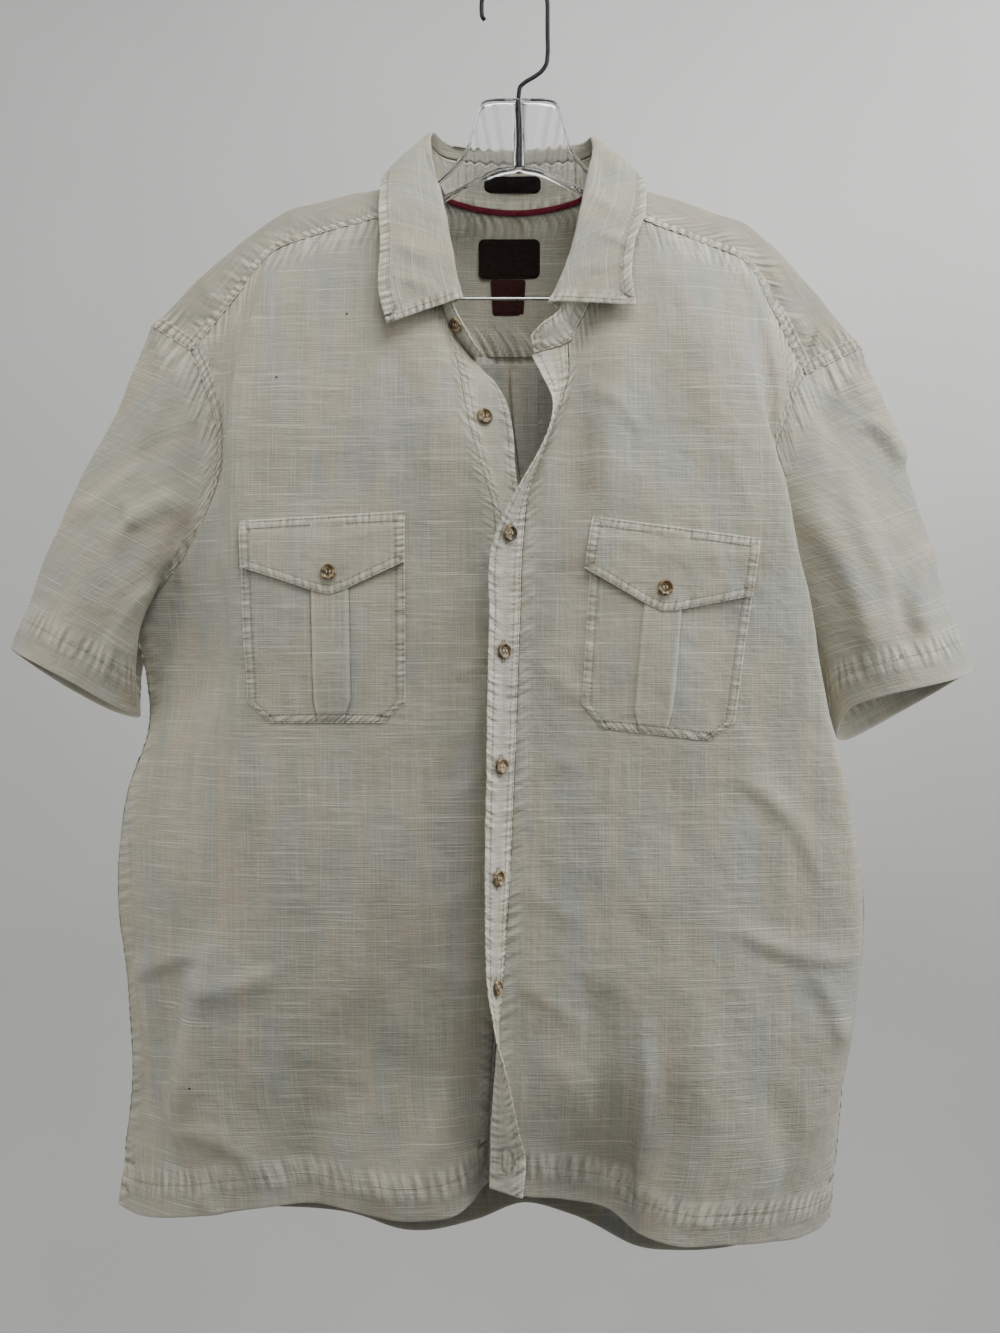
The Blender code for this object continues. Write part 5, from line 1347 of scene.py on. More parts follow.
def edge_strip(row):
    """Lap of a felled seam: a narrow double-stitched band on one panel's edge, raised and puckered."""
    grid = GRIDS[row.panel]
    sides = row.edge in ("left", "right")
    lines, spans = (grid.v[:, 0], grid.across) if sides else (grid.u[0], grid.downward.T)

    def facing(a, b):
        share = row.start + (row.stop - row.start) * b
        inwards = (LAP_WIDTH * a - LAP_INSET) / np.interp(share, lines, spans[:, -1])
        other = inwards if row.edge in ("left", "top") else 1 - inwards
        u, v = (other, share) if sides else (share, other)
        out = read_grid(grid, grid.normals, u, v)
        return read_grid(grid, grid.points, u, v), unit(out)

    def surface(a, b):
        points, out = facing(a, b)
        return points + out * (1.0 - 0.95 * smooth_step((a - 0.86) / 0.14))[..., None]

    length = lengths(surface(np.full(300, 0.5), np.linspace(0, 1, 300))[None], 1)[0, -1]
    across = np.array([0, 0.4, 1.1, 1.9, 2.7, 3.9, 5.2, 6.4, 7.2, 7.9, 8.8, 10.0]) / 10.0
    steps = np.linspace(0, 1, max(12, int(length / 1.7)))
    strip = cloth_grid(
        surface, across, steps, ("direction", facing(*np.meshgrid(across, steps))[1]), wall=0.9,
        edges=(Edge(stitches=LAP_STITCHES, pucker=0.68, pitch=row.pitch, reach=12.0), PLAIN, PLAIN, PLAIN),
        seed=row.seed,
    )
    return sheet(row.name, strip)


def band_relief(seed, side_lines):
    """Height of a narrow double layer: small creases and, at each buttonhole, a pull across it."""

    def relief(points):
        x, y, z = points[..., 0], points[..., 1], points[..., 2]
        height = 0.35 * uneven(x + y, z, 13, seed) + 0.22 * uneven(x - y, z, 6, seed + 1)
        for level in side_lines:
            height += 0.5 * np.exp(-(((z - level) / 5.0) ** 2)) * uneven(x + y, z, 5, seed + 2)
        return height

    return relief


class SHIRT_OT_materials(bpy.types.Operator):
    """Make every finish of the shirt and its hanger"""

    bl_idname = "shirt.materials"
    bl_label = "Finishes"

    def execute(self, context):
        sizes = context.scene.shirt_sizes
        make_shirting("shirting", sizes, 0.7)
        make_thread("sewing_thread", tuple(sizes.thread))
        make_thread("cream_thread", (0.72, 0.66, 0.48))
        make_plain_cloth("maroon_tape", (0.085, 0.008, 0.016), (0.16, 0.02, 0.035), 1300)
        make_plain_cloth("brown_label", (0.007, 0.004, 0.003), (0.017, 0.010, 0.007), 900)
        make_plain_cloth("dark_label", (0.006, 0.0045, 0.0045), (0.014, 0.010, 0.0095), 1100)
        make_plain_cloth("maroon_label", (0.020, 0.006, 0.006), (0.040, 0.012, 0.011), 1200)
        make_horn("button_horn", (0.045, 0.024, 0.010), (0.155, 0.098, 0.042), (0.42, 0.32, 0.17))
        make_clear_plastic("clear_moulding", (0.93, 0.955, 0.95))
        make_metal("coated_wire", (0.018, 0.018, 0.02), 0.55, 0.38)
        make_metal("drawn_wire", (0.50, 0.50, 0.50), 1.0, 0.28)
        return {"FINISHED"}


SOFT_SEAM = Edge(pucker=0.42, pitch=7.6, reach=23.0, joined=True)
SIDE_SEAM = Edge(pucker=0.22, pitch=9.0, reach=15.0, joined=True)


class SHIRT_OT_fronts(bpy.types.Operator):
    """Build the two fronts with their hems and creases"""

    bl_idname = "shirt.fronts"
    bl_label = "Fronts"

    def execute(self, context):
        for side, (creases, seed) in FRONT_RELIEFS.items():
            hem = turned_up(HEM_HEIGHT, HEM_STITCHES, 0.38, 8.5)
            band = Edge(pucker=0.3, pitch=8.0, reach=10.0, joined=True)
            grid = cloth_grid(
                front_surface(side), spaced(345, 6, 10, 2.0, 3.2), spaced(770, 10, 30, 2.0, 3.8),
                ("direction", (0, -1, 0.1)), cloth_relief(creases, seed),
                edges=(band, SIDE_SEAM, SOFT_SEAM, hem), seed=seed, hung=True,
            )
            sheet(f"front_{side}_cloth", grid, (f"front_{side}",))
        return {"FINISHED"}


class SHIRT_OT_back(bpy.types.Operator):
    """Build the back with its hem, the folds of its box pleat and its creases"""

    bl_idname = "shirt.back"
    bl_label = "Back"

    def execute(self, context):
        hem = turned_up(HEM_HEIGHT, HEM_STITCHES, 0.38, 10.5)
        grid = cloth_grid(
            back_shaped, spaced(640, 8, 8, 2.4, 5.0), spaced(740, 8, 30, 2.4, 5.6),
            ("direction", (0, 1, 0)), cloth_relief(CREASES_BACK, 47),
            edges=(SIDE_SEAM, SIDE_SEAM, SOFT_SEAM, hem), seed=47, hung=True,
        )
        sheet("back_cloth", grid, ("back",))
        for number, sign in enumerate((-1.0, 1.0)):
            fold = cloth_grid(
                pleat_surface(sign), spaced(24, 0, 4, 1.4, 2.4), spaced(240, 4, 0, 1.6, 4.0),
                FORWARDS, cloth_relief((), 53 + number),
                edges=(PLAIN, Edge(pucker=0.12, pitch=9.0, reach=6.0), PLAIN, PLAIN), seed=53, hung=True,
            )
            sheet(f"back_pleat_{('right', 'left')[number]}", fold)
        return {"FINISHED"}


# The box pleat's inner folds, in millimetres: their ends, their depth behind the back and how they open
PLEAT_TOP = -311.0
PLEAT_FOOT = -540.0
PLEAT_BEHIND = 1.3
PLEAT_TURN = 1.6
PLEAT_SAG = 0.9
PLEAT_MIDDLE = -3.5
PLEAT_OPENING = 16.0


def pleat_surface(sign):
    """One inner fold of the box pleat: u from its outer side to its free fold, v down the back.

    The free fold starts on the middle line and moves outwards on the way down as the pleat opens.
    """

    def surface(u, v):
        z = PLEAT_TOP + (PLEAT_FOOT - PLEAT_TOP) * v
        free = PLEAT_MIDDLE + sign * (0.4 + PLEAT_OPENING * smooth_step(v * 1.25))
        side = PLEAT_MIDDLE + sign * (PLEAT_HALF + 5.0)
        x = side + (free - side) * u
        points = lifted(back_shaped, x, z, (0.5, 0.1), 0.0)
        points[..., 1] -= PLEAT_BEHIND + PLEAT_TURN * smooth_step(u / 0.35)
        points[..., 1] -= PLEAT_SAG * np.sin(np.pi * v) * u
        return points

    return surface


class SHIRT_OT_yoke(bpy.types.Operator):
    """Build the yoke over the hanger"""

    bl_idname = "shirt.yoke"
    bl_label = "Yoke"

    def execute(self, context):
        # Painted shade: marks of -0.45 darken the whole yoke in colour, where the top lamp lights it most
        grid = cloth_grid(
            yoke_surface, spaced(900, 8, 8, 2.2, 3.3), spaced(215, 10, 10, 2.2, 3.4),
            ("direction", (0, 0.2, 1)), cloth_relief(CREASES_YOKE, 71),
            edges=(SOFT_SEAM,) * 4, seed=71, marks=lambda u, v: -0.45 + u * 0,
        )
        sheet("yoke_cloth", grid, ("yoke",))
        return {"FINISHED"}


class SHIRT_OT_sleeves(bpy.types.Operator):
    """Build the two sleeves with their turned-up cuffs"""

    bl_idname = "shirt.sleeves"
    bl_label = "Sleeves"

    def execute(self, context):
        for side, creases, seed in (("right", CREASES_SLEEVE_RIGHT, 83), ("left", CREASES_SLEEVE_LEFT, 97)):
            hem = turned_up(CUFF_HEM_HEIGHT, CUFF_STITCHES, 0.36, 8.0)
            grid = cloth_grid(
                sleeve_surface(side), np.linspace(0, 1, 173), spaced(270, 8, 32, 2.2, 3.7),
                ("point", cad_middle(f"sleeve_{side}")), cloth_relief(creases, seed),
                edges=(PLAIN, PLAIN, SOFT_SEAM, hem), closed=True, seed=seed,
            )
            sheet(f"sleeve_{side}_cloth", grid, (f"sleeve_{side}",))
        return {"FINISHED"}


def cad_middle(name):
    """Middle of a CAD node's box, in millimetres."""
    low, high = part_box(name)
    return tuple((a + b) / 2 / MM for a, b in zip(low, high))


def stand_relief(points):
    """The stiff stand keeps a third of the cloth's unevenness at its back and all of it at its ends."""
    return cloth_relief((), 103)(points) * (0.3 + 0.7 * smooth_step((20 - points[..., 1]) / 40))


def stand_marks(u, v):
    """The stand's two ends are rubbed paler than its middle."""
    return 0.35 * smooth_step((np.abs(2 * u - 1) - 0.7) / 0.2) + v * 0


class SHIRT_OT_collar(bpy.types.Operator):
    """Build the collar's stand and its folded leaf"""

    bl_idname = "shirt.collar"
    bl_label = "Collar"

    def execute(self, context):
        edge = Edge(stitches=LEAF_STITCHES, pucker=0.62, pitch=5.6, reach=8.5)
        leaf = cloth_grid(
            leaf_surface, spaced(560, 9, 9, 1.5, 2.4), spaced(100, 2, 9, 1.5, 3.0),
            ("point", (0, -10, -215)), cloth_relief(CREASES_COLLAR, 101), wall=COLLAR_WALL,
            edges=(edge, edge, PLAIN, edge), seed=101,
        )
        sheet("collar_leaf_cloth", leaf, ("collar_leaf",))
        seam = Edge(stitches=STAND_STITCHES, pucker=0.4, pitch=5.6, reach=9.0)
        stand = cloth_grid(
            stand_surface, spaced(600, 6, 6, 1.5, 2.4), spaced(38, 6, 6, 1.5, 2.1),
            ("point", (0, -10, -175)), stand_relief, wall=COLLAR_WALL,
            edges=(seam, seam, seam, seam), seed=103, marks=stand_marks,
        )
        sheet("collar_stand_cloth", stand, ("collar_stand",))
        return {"FINISHED"}


class SHIRT_OT_bands(bpy.types.Operator):
    """Build the two front bands that carry the buttons and buttonholes"""

    bl_idname = "shirt.bands"
    bl_label = "Bands"

    def execute(self, context):
        levels = [row.z for row in FRONT_BUTTONS]
        seam = Edge(stitches=BAND_SEAM_STITCHES, pucker=0.46, pitch=5.8, reach=12.0)
        edge = Edge(stitches=BAND_EDGE_STITCHES, pucker=0.5, pitch=5.8, reach=11.0)
        end = turned_up(HEM_HEIGHT, HEM_STITCHES, 0.3, 4.0, reach=9.0)
        for name, rows, node, seed in (
            ("buttonhole_band_cloth", "upper", "buttonhole_band", 113),
            ("button_band_cloth", "lower", "button_band", 127),
        ):
            grid = cloth_grid(
                band_surface(*BANDS[rows]), spaced(32, 6, 8, 1.5, 2.2), spaced(665, 2, 4, 1.6, 2.0),
                FORWARDS, band_relief(seed, levels), wall=1.3,
                edges=(seam, edge, PLAIN, end), seed=seed, hung=True, marks=lambda u, v: 0.26 + u * 0,
            )
            sheet(name, grid, (node,))
        return {"FINISHED"}


# Creases and unevenness of the fronts and of what lies on them
FRONT_RELIEFS = {"right": (CREASES_RIGHT, 11), "left": (CREASES_LEFT, 29)}


def pleat_share(row):
    """Where the pocket's pleat and the flap's point lie, from the inner edge to the outer."""
    return (row.flap_in[0] - row.flap_point[0]) / (row.flap_in[0] - row.flap_out[0])


def pocket_cloth(row):
    """Pocket on its front: cut corners, soft belly, and a box pleat raised between its two folds."""
    surface, flip = front_surface(row.side), 1.0 if row.side == "right" else -1.0
    height, width = math.dist(row.top_in, row.foot_in), math.dist(row.foot_in, row.foot_out)

    def pocket(a, b):
        cut = np.clip(1 - (1 - b) * height / POCKET_CHAMFER, 0, 1) * POCKET_CHAMFER
        across = cut / width + a * (1 - 2 * cut / width)
        flat = quad((row.top_in, row.top_out, row.foot_in, row.foot_out), across, b)
        pleat = smooth_step((POCKET_PLEAT_HALF - np.abs(a - pleat_share(row))) / 0.005)
        belly = 1.1 * np.sin(np.pi * a) ** 0.8 * np.sin(np.pi * np.clip(b, 0, 1)) ** 0.8
        out = 1.05 + belly + pleat * POCKET_PLEAT_STEP * smooth_step((1 - b) * height / 9)
        return lifted(surface, flat[..., 0], flat[..., 1], (0.4, 0.25), out, flip)

    return pocket


def pleat_wear_and_painted_shade(row):
    """Pocket pleat: a line of painted shade in each step, and pale wear on the fold beside it."""

    def marks(u, v):
        step = np.abs(u - pleat_share(row)) - POCKET_PLEAT_HALF
        pale = 0.5 * np.exp(-(((step + 0.012) / 0.010) ** 2))
        return pale - 0.95 * np.exp(-(((step - 0.002) / 0.006) ** 2))

    return marks


def flap_cloth(row):
    """Flap over the pocket's mouth: its foot runs down to a point under the button."""
    surface, flip = front_surface(row.side), 1.0 if row.side == "right" else -1.0
    middle = pleat_share(row)

    def flap(a, b):
        flat = quad((row.top_in, row.top_out, row.flap_in, row.flap_out), a, b)
        chord = row.flap_in[1] + (row.flap_out[1] - row.flap_in[1]) * middle
        tent = np.where(a < middle, a / middle, (1 - a) / (1 - middle))
        tent = tent - 0.06 * np.exp(-(((a - middle) / 0.06) ** 2))
        flat[..., 1] += (row.flap_point[1] - chord) * tent * b + FLAP_RISE * (1 - b)
        out = 1.3 + 3.2 * smooth_step(b / 0.35) + 1.2 * np.abs(2 * a - 1) ** 3 * b
        return lifted(surface, flat[..., 0], flat[..., 1], (0.4, 0.25), out, flip)

    return flap


POCKET_PLEAT_HALF = 0.117
POCKET_PLEAT_STEP = 1.5


class SHIRT_OT_pockets(bpy.types.Operator):
    """Build the two chest pockets with their pleats and pointed flaps"""

    bl_idname = "shirt.pockets"
    bl_label = "Pockets"

    def execute(self, context):
        sewn = Edge(stitches=POCKET_STITCHES, pucker=0.36, pitch=5.0, reach=7.6)
        top = Edge(stitches=(1.8, 8.0), pucker=0.34, pitch=5.0, reach=8.8)
        for number, row in enumerate(POCKETS):
            base = cloth_relief(*FRONT_RELIEFS[row.side])
            beside = POCKET_PLEAT_HALF + np.array([-0.008, -0.003, 0, 0.003, 0.008])
            folds = pleat_share(row) + np.outer((-1, 1), beside)
            across = np.unique(np.concatenate([spaced(130, 9, 9, 1.4, 1.9), folds.ravel()]))
            pocket = cloth_grid(
                pocket_cloth(row), across, spaced(155, 4, 9, 1.4, 2.2),
                FORWARDS, base, wall=0.9, edges=(sewn, sewn, PLAIN, sewn),
                seed=131 + number, hung=True, marks=pleat_wear_and_painted_shade(row),
            )
            sheet(f"pocket_{row.side}_cloth", pocket, (f"pocket_{row.side}",))
            flap = cloth_grid(
                flap_cloth(row), spaced(130, 9, 9, 1.3, 1.7), spaced(58, 9, 9, 1.2, 1.7),
                FORWARDS, base, wall=1.5, edges=(sewn, sewn, top, sewn),
                seed=137 + number, hung=True,
            )
            node_name = f"pocket_flap_{row.side}"
            sheet(f"{node_name}_cloth", flap, (node_name,))
        return {"FINISHED"}


# Stations of the collar between which the neck tape runs
TAPE_STATIONS = (4.4, 7.6)


def tape_cloth(u, v):
    """Neck tape inside the back neck seam."""
    start, stop = TAPE_STATIONS
    seam = at_station([row.seam for row in COLLAR], start + (stop - start) * u)
    inward = unit(-seam * np.array([1.0, 1.0, 0.0]) + np.array([0.0, 2.0, 0.0]))
    out = COLLAR_WALL / 2 + 0.3 + TAPE_LIFT
    lift = np.array([0.0, 0.0, 1.0])
    return seam + inward * out + lift * (TAPE_RISE - TAPE_WIDTH * v[..., None])


def label_cloth(row, surface, guess, out, flip, corner, taper=0.0):
    """Label with rounded corners, laid on the inner face of a back piece."""
    high = row.z_high - row.z_low

    def label(a, b):
        drop = np.clip(1 - np.minimum(b, 1 - b) * high / corner, 0, 1)
        inset = corner * (1 - np.sqrt(1 - drop**2)) + taper * b
        x = row.x_low + inset + (row.x_high - row.x_low - 2 * inset) * a
        z = row.z_high - high * b
        return lifted(surface, x, z, guess, out, flip)

    return label


class SHIRT_OT_labels(bpy.types.Operator):
    """Build the neck tape and the three bare labels"""

    bl_idname = "shirt.labels"
    bl_label = "Labels"

    def execute(self, context):
        turned = Edge(stitches=(1.6,), pucker=0.08, pitch=5.0, reach=4.0)
        tape = cloth_grid(
            tape_cloth, spaced(150, 0, 0, 1.5, 2.0), spaced(5, 0, 0, 0.6, 0.9),
            ("point", (0, 60, -170)), wall=0.6, edges=(PLAIN, PLAIN, turned, turned), seed=149,
        )
        sheet("neck_tape_cloth", tape, ("neck_tape",), "maroon_tape")
        for row, finish, corner, taper, surface, guess, lift, flip in (
            (YOKE_LABELS[0], "brown_label", 5.0, 0.0, yoke_surface, (0.5, 0.5), -1.7, 1.0),
            (YOKE_LABELS[1], "maroon_label", 2.5, 2.0, yoke_surface, (0.5, 0.5), -1.4, 1.0),
            (STAND_LABEL, "dark_label", 5.0, 0.0, stand_surface, (0.47, 0.5), -2.3, -1.0),
        ):
            grid = cloth_grid(
                label_cloth(row, surface, guess, lift, flip, corner, taper),
                spaced(row.x_high - row.x_low, 3, 3, 0.9, 1.2),
                spaced(row.z_high - row.z_low, 3, 3, 0.9, 1.2),
                FORWARDS, cloth_relief((), 151), wall=0.8, edges=(turned,) * 4, seed=157,
            )
            sheet(f"{row.name}_cloth", grid, (row.name,), finish)
        return {"FINISHED"}


# A button's turned profile, from its middle over the rim to its back
ProfileRow = namedtuple("ProfileRow", "radius height")
BUTTON_PROFILE = rows_of(
    ProfileRow, (0.0, 1.45), (2.6, 1.5), (3.3, 1.66), (3.9, 1.98), (4.5, 2.42), (5.0, BUTTON_THICK),
    (5.5, 2.54), (5.95, 2.22), (6.22, 1.75), (BUTTON_RADIUS, 1.35), (6.1, 0.85), (5.7, 0.32), (5.2, 0.0),
    (0.0, 0.0),
)
BUTTONHOLE_ACROSS = 0.52
HOLE_PLACE = 1.3
HOLE_DEPTH = 1.1
HOLE_RADIUS = 0.62


def button_shape(place, facing):
    """Turned button: its profile carried round the axis, sunk steeply at the four holes."""
    face = unit(np.array(facing, float))
    up = unit(np.array([0.0, 0.0, 1.0]) - face * face[2])
    side = np.cross(up, face)
    inner = [(radius, 1.45 + 0.02 * radius) for radius in np.arange(0.25, 2.6, 0.26)]
    outer = [tuple(row) for row in BUTTON_PROFILE[1:-1]]
    profile = np.array([(0.02, 1.45)] + inner + outer + [(0.02, 0.0)])
    turns = np.linspace(0, 2 * np.pi, 56, endpoint=False)
    x, y = profile[:, :1] * np.cos(turns), profile[:, :1] * np.sin(turns)
    height = np.broadcast_to(profile[:, 1:], x.shape).copy()
    hole = np.zeros_like(x)
    for hole_x, hole_y in ((-1, -1), (1, -1), (-1, 1), (1, 1)):
        gap = np.hypot(x - hole_x * HOLE_PLACE, y - hole_y * HOLE_PLACE) / HOLE_RADIUS
        hole = np.maximum(hole, np.exp(-(gap**4)))
    hole *= profile[:, 1:] > 1.2
    height -= HOLE_DEPTH * hole
    corners = np.array(place) + side * x[..., None] + up * y[..., None] + face * height[..., None]
    faces = ring_faces(len(profile), len(turns))
    return corners.reshape(-1, 3), faces, hole.ravel(), side, up, face


def height_on(surface, u, z):
    """The share v at which a strip's line u passes through the height z, by Newton steps."""
    v = np.array([0.5])
    for _ in range(20):
        slope = (surface(u, v + 1e-3) - surface(u, v))[0, 2] / 1e-3
        v = v + (z - surface(u, v)[0, 2]) / slope
    return v


def button_places():
    """Every button's node, its back's place and the way it faces, from the cloth that carries it."""
    a, b = np.array([COLLAR_BUTTON[0]]), np.array([COLLAR_BUTTON[1]])
    places = [("button_collar", stand_surface, a, b, COLLAR_WALL / 2 + 0.2)]
    for number, row in enumerate(FRONT_BUTTONS, 1):
        surface = band_surface(*BANDS[row.band])
        u = np.array([row.across])
        v = height_on(surface, u, row.z)
        places.append((f"button_front_{number}", surface, u, v, 0.85 + row.lift * 0.5))
    for row in POCKETS:
        u, v = np.array([pleat_share(row)]), np.array([FLAP_BUTTON_DOWN])
        places.append((f"button_pocket_{row.side}", flap_cloth(row), u, v, 1.1))
    made = []
    for name, surface, u, v, lift in places:
        face = normal_of(surface, u, v)[0]
        face = face * (-1 if face[1] > 0 else 1)
        made.append((name, surface(u, v)[0] + face * lift, face))
    return made


class SHIRT_OT_buttons(bpy.types.Operator):
    """Build the nine four-hole buttons, the threads that hold them and the buttonholes"""

    bl_idname = "shirt.buttons"
    bl_label = "Buttons"

    def execute(self, context):
        threads = []
        for name, place, facing in button_places():
            corners, faces, hole, side, up, face = button_shape(place, facing)
            mesh = joined_mesh(f"{name}_horn", [(corners, faces)])
            # The hole mask, for the horn's painted shade in its holes
            mesh.attributes.new("worn", "FLOAT", "POINT").data.foreach_set("value", hole)
            placed(f"{name}_horn", mesh, "button_horn", (name,))
            for hole_y in (-HOLE_PLACE, HOLE_PLACE):
                for strand in (-0.22, 0.22):
                    t = np.linspace(-1, 1, 9)
                    rise = 1.45 + 0.42 * (1 - t**4) - 0.75 * (np.abs(t) > 0.9)
                    path = np.array(place) + up * (HOLE_PLACE * t)[:, None] * 1.05
                    path = path + side * (hole_y + strand) + face * rise[:, None]
                    threads.append(tube(path, 0.24, 6))
        placed("button_threads", joined_mesh("button_threads", threads), "cream_thread")
        rings = []
        surface = band_surface(*BANDS["upper"])
        grid = GRIDS["buttonhole_band_cloth"]
        for row in FRONT_BUTTONS:
            u = np.array([BUTTONHOLE_ACROSS])
            v = height_on(surface, u, row.z)
            turns = np.linspace(0, 2 * np.pi, 44, endpoint=False)
            along_slit = np.clip(np.sin(turns) * 14, -7.2, 7.2) + 1.3 * np.sin(turns)
            beside = 1.3 * np.clip(np.cos(turns) * 3, -1, 1)
            tall = (surface(u, v + 0.01) - surface(u, v))[0]
            wide = (surface(u + 0.1, v) - surface(u, v))[0]
            at_v = v + along_slit / np.linalg.norm(tall) * 0.01
            at_u = u + beside / np.linalg.norm(wide) * 0.1
            points = read_grid(grid, grid.points, at_u, at_v)
            out = read_grid(grid, grid.normals, at_u, at_v)
            rings.append(tube(points + out * 0.75, 0.5, 6, loop=True))
        placed("buttonholes", joined_mesh("buttonholes", rings), "sewing_thread")
        return {"FINISHED"}


class SHIRT_OT_laps(bpy.types.Operator):
    """Build the double-stitched laps of the felled seams"""

    bl_idname = "shirt.laps"
    bl_label = "Felled seams"

    def execute(self, context):
        for row in LAPS:
            edge_strip(row)
        return {"FINISHED"}


# Laps: the panel that each lies on, the edge and the share of it that it runs along
LapRow = namedtuple("LapRow", "name panel edge start stop seed pitch", defaults=(6.3,))
LAPS = rows_of(
    LapRow, ("lap_yoke_front_right", "yoke_cloth", "top", 0.003, 0.298, 163),
    ("lap_yoke_front_left", "yoke_cloth", "top", 0.702, 0.997, 167),
    ("lap_yoke_back", "yoke_cloth", "foot", 0.003, 0.997, 173),
    ("lap_shoulder_right", "yoke_cloth", "left", 0.01, 0.99, 179),
    ("lap_shoulder_left", "yoke_cloth", "right", 0.01, 0.99, 181),
    ("lap_armhole_front_right", "front_right_cloth", "right", 0.0, 0.311, 191),
    ("lap_armhole_front_left", "front_left_cloth", "right", 0.0, 0.314, 193),
    ("lap_armhole_back_right", "back_cloth", "left", 0.0, 0.229, 197),
    ("lap_armhole_back_left", "back_cloth", "right", 0.0, 0.242, 199),
    ("lap_side_right", "back_cloth", "left", 0.232, 0.93, 211, 8.3),
    ("lap_side_left", "back_cloth", "right", 0.245, 0.93, 223, 8.3),
)

# Stitch rows: the cloth, the edge, the distances from it in millimetres, the share of it and the side
StitchRow = namedtuple("StitchRow", "piece edge distances start stop side", defaults=(0.0, 1.0, 1.0))
POCKET_ROWS = (("pocket", ("left", "right", "foot")), ("pocket_flap", ("left", "right", "top", "foot")))
STITCHES = {
    "stitches_fronts": rows_of(
        StitchRow, ("front_right_cloth", "foot", HEM_STITCHES), ("front_left_cloth", "foot", HEM_STITCHES),
        ("buttonhole_band_cloth", "left", BAND_SEAM_STITCHES),
        ("buttonhole_band_cloth", "right", BAND_EDGE_STITCHES),
        ("button_band_cloth", "left", BAND_SEAM_STITCHES), ("button_band_cloth", "right", BAND_EDGE_STITCHES),
        ("buttonhole_band_cloth", "foot", HEM_STITCHES), ("button_band_cloth", "foot", HEM_STITCHES),
    ),
    "stitches_back": rows_of(StitchRow, ("back_cloth", "foot", HEM_STITCHES)),
    "stitches_sleeves": tuple(
        StitchRow(f"sleeve_{side}_cloth", "foot", CUFF_STITCHES) for side in ("right", "left")
    ),
    "stitches_collar": rows_of(
        StitchRow, ("collar_leaf_cloth", "foot", LEAF_STITCHES, 0.014, 0.986),
        ("collar_leaf_cloth", "left", LEAF_STITCHES, 0.3, 0.93),
        ("collar_leaf_cloth", "right", LEAF_STITCHES, 0.3, 0.93),
        ("collar_stand_cloth", "top", STAND_STITCHES), ("collar_stand_cloth", "foot", STAND_STITCHES),
        ("collar_stand_cloth", "top", STAND_STITCHES, 0.0, 1.0, -1.0),
        ("collar_stand_cloth", "foot", STAND_STITCHES, 0.0, 1.0, -1.0), ("neck_tape_cloth", "foot", (0.9,)),
    ),
    "stitches_pockets": tuple(
        StitchRow(f"{piece}_{side}_cloth", edge, POCKET_STITCHES, 0.02, 0.98)
        for piece, edges in POCKET_ROWS for side in ("right", "left") for edge in edges
    ),
    "stitches_laps": tuple(StitchRow(row.name, "left", LAP_STITCHES, 0.005, 0.995) for row in LAPS),
}


class SHIRT_OT_stitching(bpy.types.Operator):
    """Sew every visible row of stitches"""

    bl_idname = "shirt.stitching"
    bl_label = "Stitching"

    def execute(self, context):
        sizes = context.scene.shirt_sizes
        for name, table in STITCHES.items():
            rows = [
                row_on(row.piece, row.edge, distance, row.start, row.stop, row.side)
                for row in table for distance in row.distances
            ]
            mesh = stitch_mesh(name, rows, sizes.stitch_pitch, sizes.stitch_length, sizes.thread_radius)
            placed(name, mesh, "sewing_thread")
        return {"FINISHED"}


# Hanger outline by share from the middle to the tip, as its top's and foot's own points
TOP_SHARES = (0, 0.08, 0.13, 0.19, 0.27, 0.34, 0.41, 0.5, 0.58, 0.66, 0.74, 0.82, 0.89, 0.95, 1.0)
FOOT_SHARES = (0, 0.12, 0.24, 0.41, 0.58, 0.74, 0.9, 1.0)
WEB_THICK = 2.2
RIM_WIDTH = 2.6
COLUMN_RADIUS = 4.0
RIDGE_COUNT = 17
RIDGE_HEIGHT = 0.9
RIM_FADE = 1.6


def hanger_top(sign):
    """Top edge of the hanger from its middle out to one tip: the bell, then the yoke's underside."""
    u, v = (grid.ravel() for grid in np.meshgrid(np.linspace(0, 1, 401), np.linspace(0, 1, 81)))
    yoke = yoke_surface(u, v)
    yoke = yoke[np.abs(yoke[:, 1]) < HANGER_THICK / 2 + 2]
    line = [(SOCKET_X + sign * row.x, row.z) for row in HANGER_BELL]
    for row in ARM_TOP:
        x = SOCKET_X + sign * row.x
        lowest = yoke[np.abs(yoke[:, 0] - x) < 4][:, 2].min()
        line.append((x, lowest - WALL / 2 - SEAM_GAP - row.drop - 1.0))
    return np.array(line)


def hanger_plate(u, v):
    """Level points of the hanger's plate: u from the right tip to the left one, v from top to foot."""
    share, left = np.abs(2 * u - 1), (u > 0.5)[..., None]
    left_top, right_top = (hermite(TOP_SHARES, hanger_top(sign), share) for sign in (1, -1))
    top = np.where(left, left_top, right_top)
    foot = np.array([(0, ARCH_TOP)] + [tuple(row) for row in ARM_FOOT[::-1]], float)
    foot_x, foot_z = hermite(FOOT_SHARES, foot, share).T
    foot = np.stack([SOCKET_X + np.where(u > 0.5, 1, -1) * foot_x, foot_z], -1)
    level = top + (foot - top) * v[..., None]
    return np.stack([level[..., 0], np.zeros_like(u), level[..., 1]], -1)


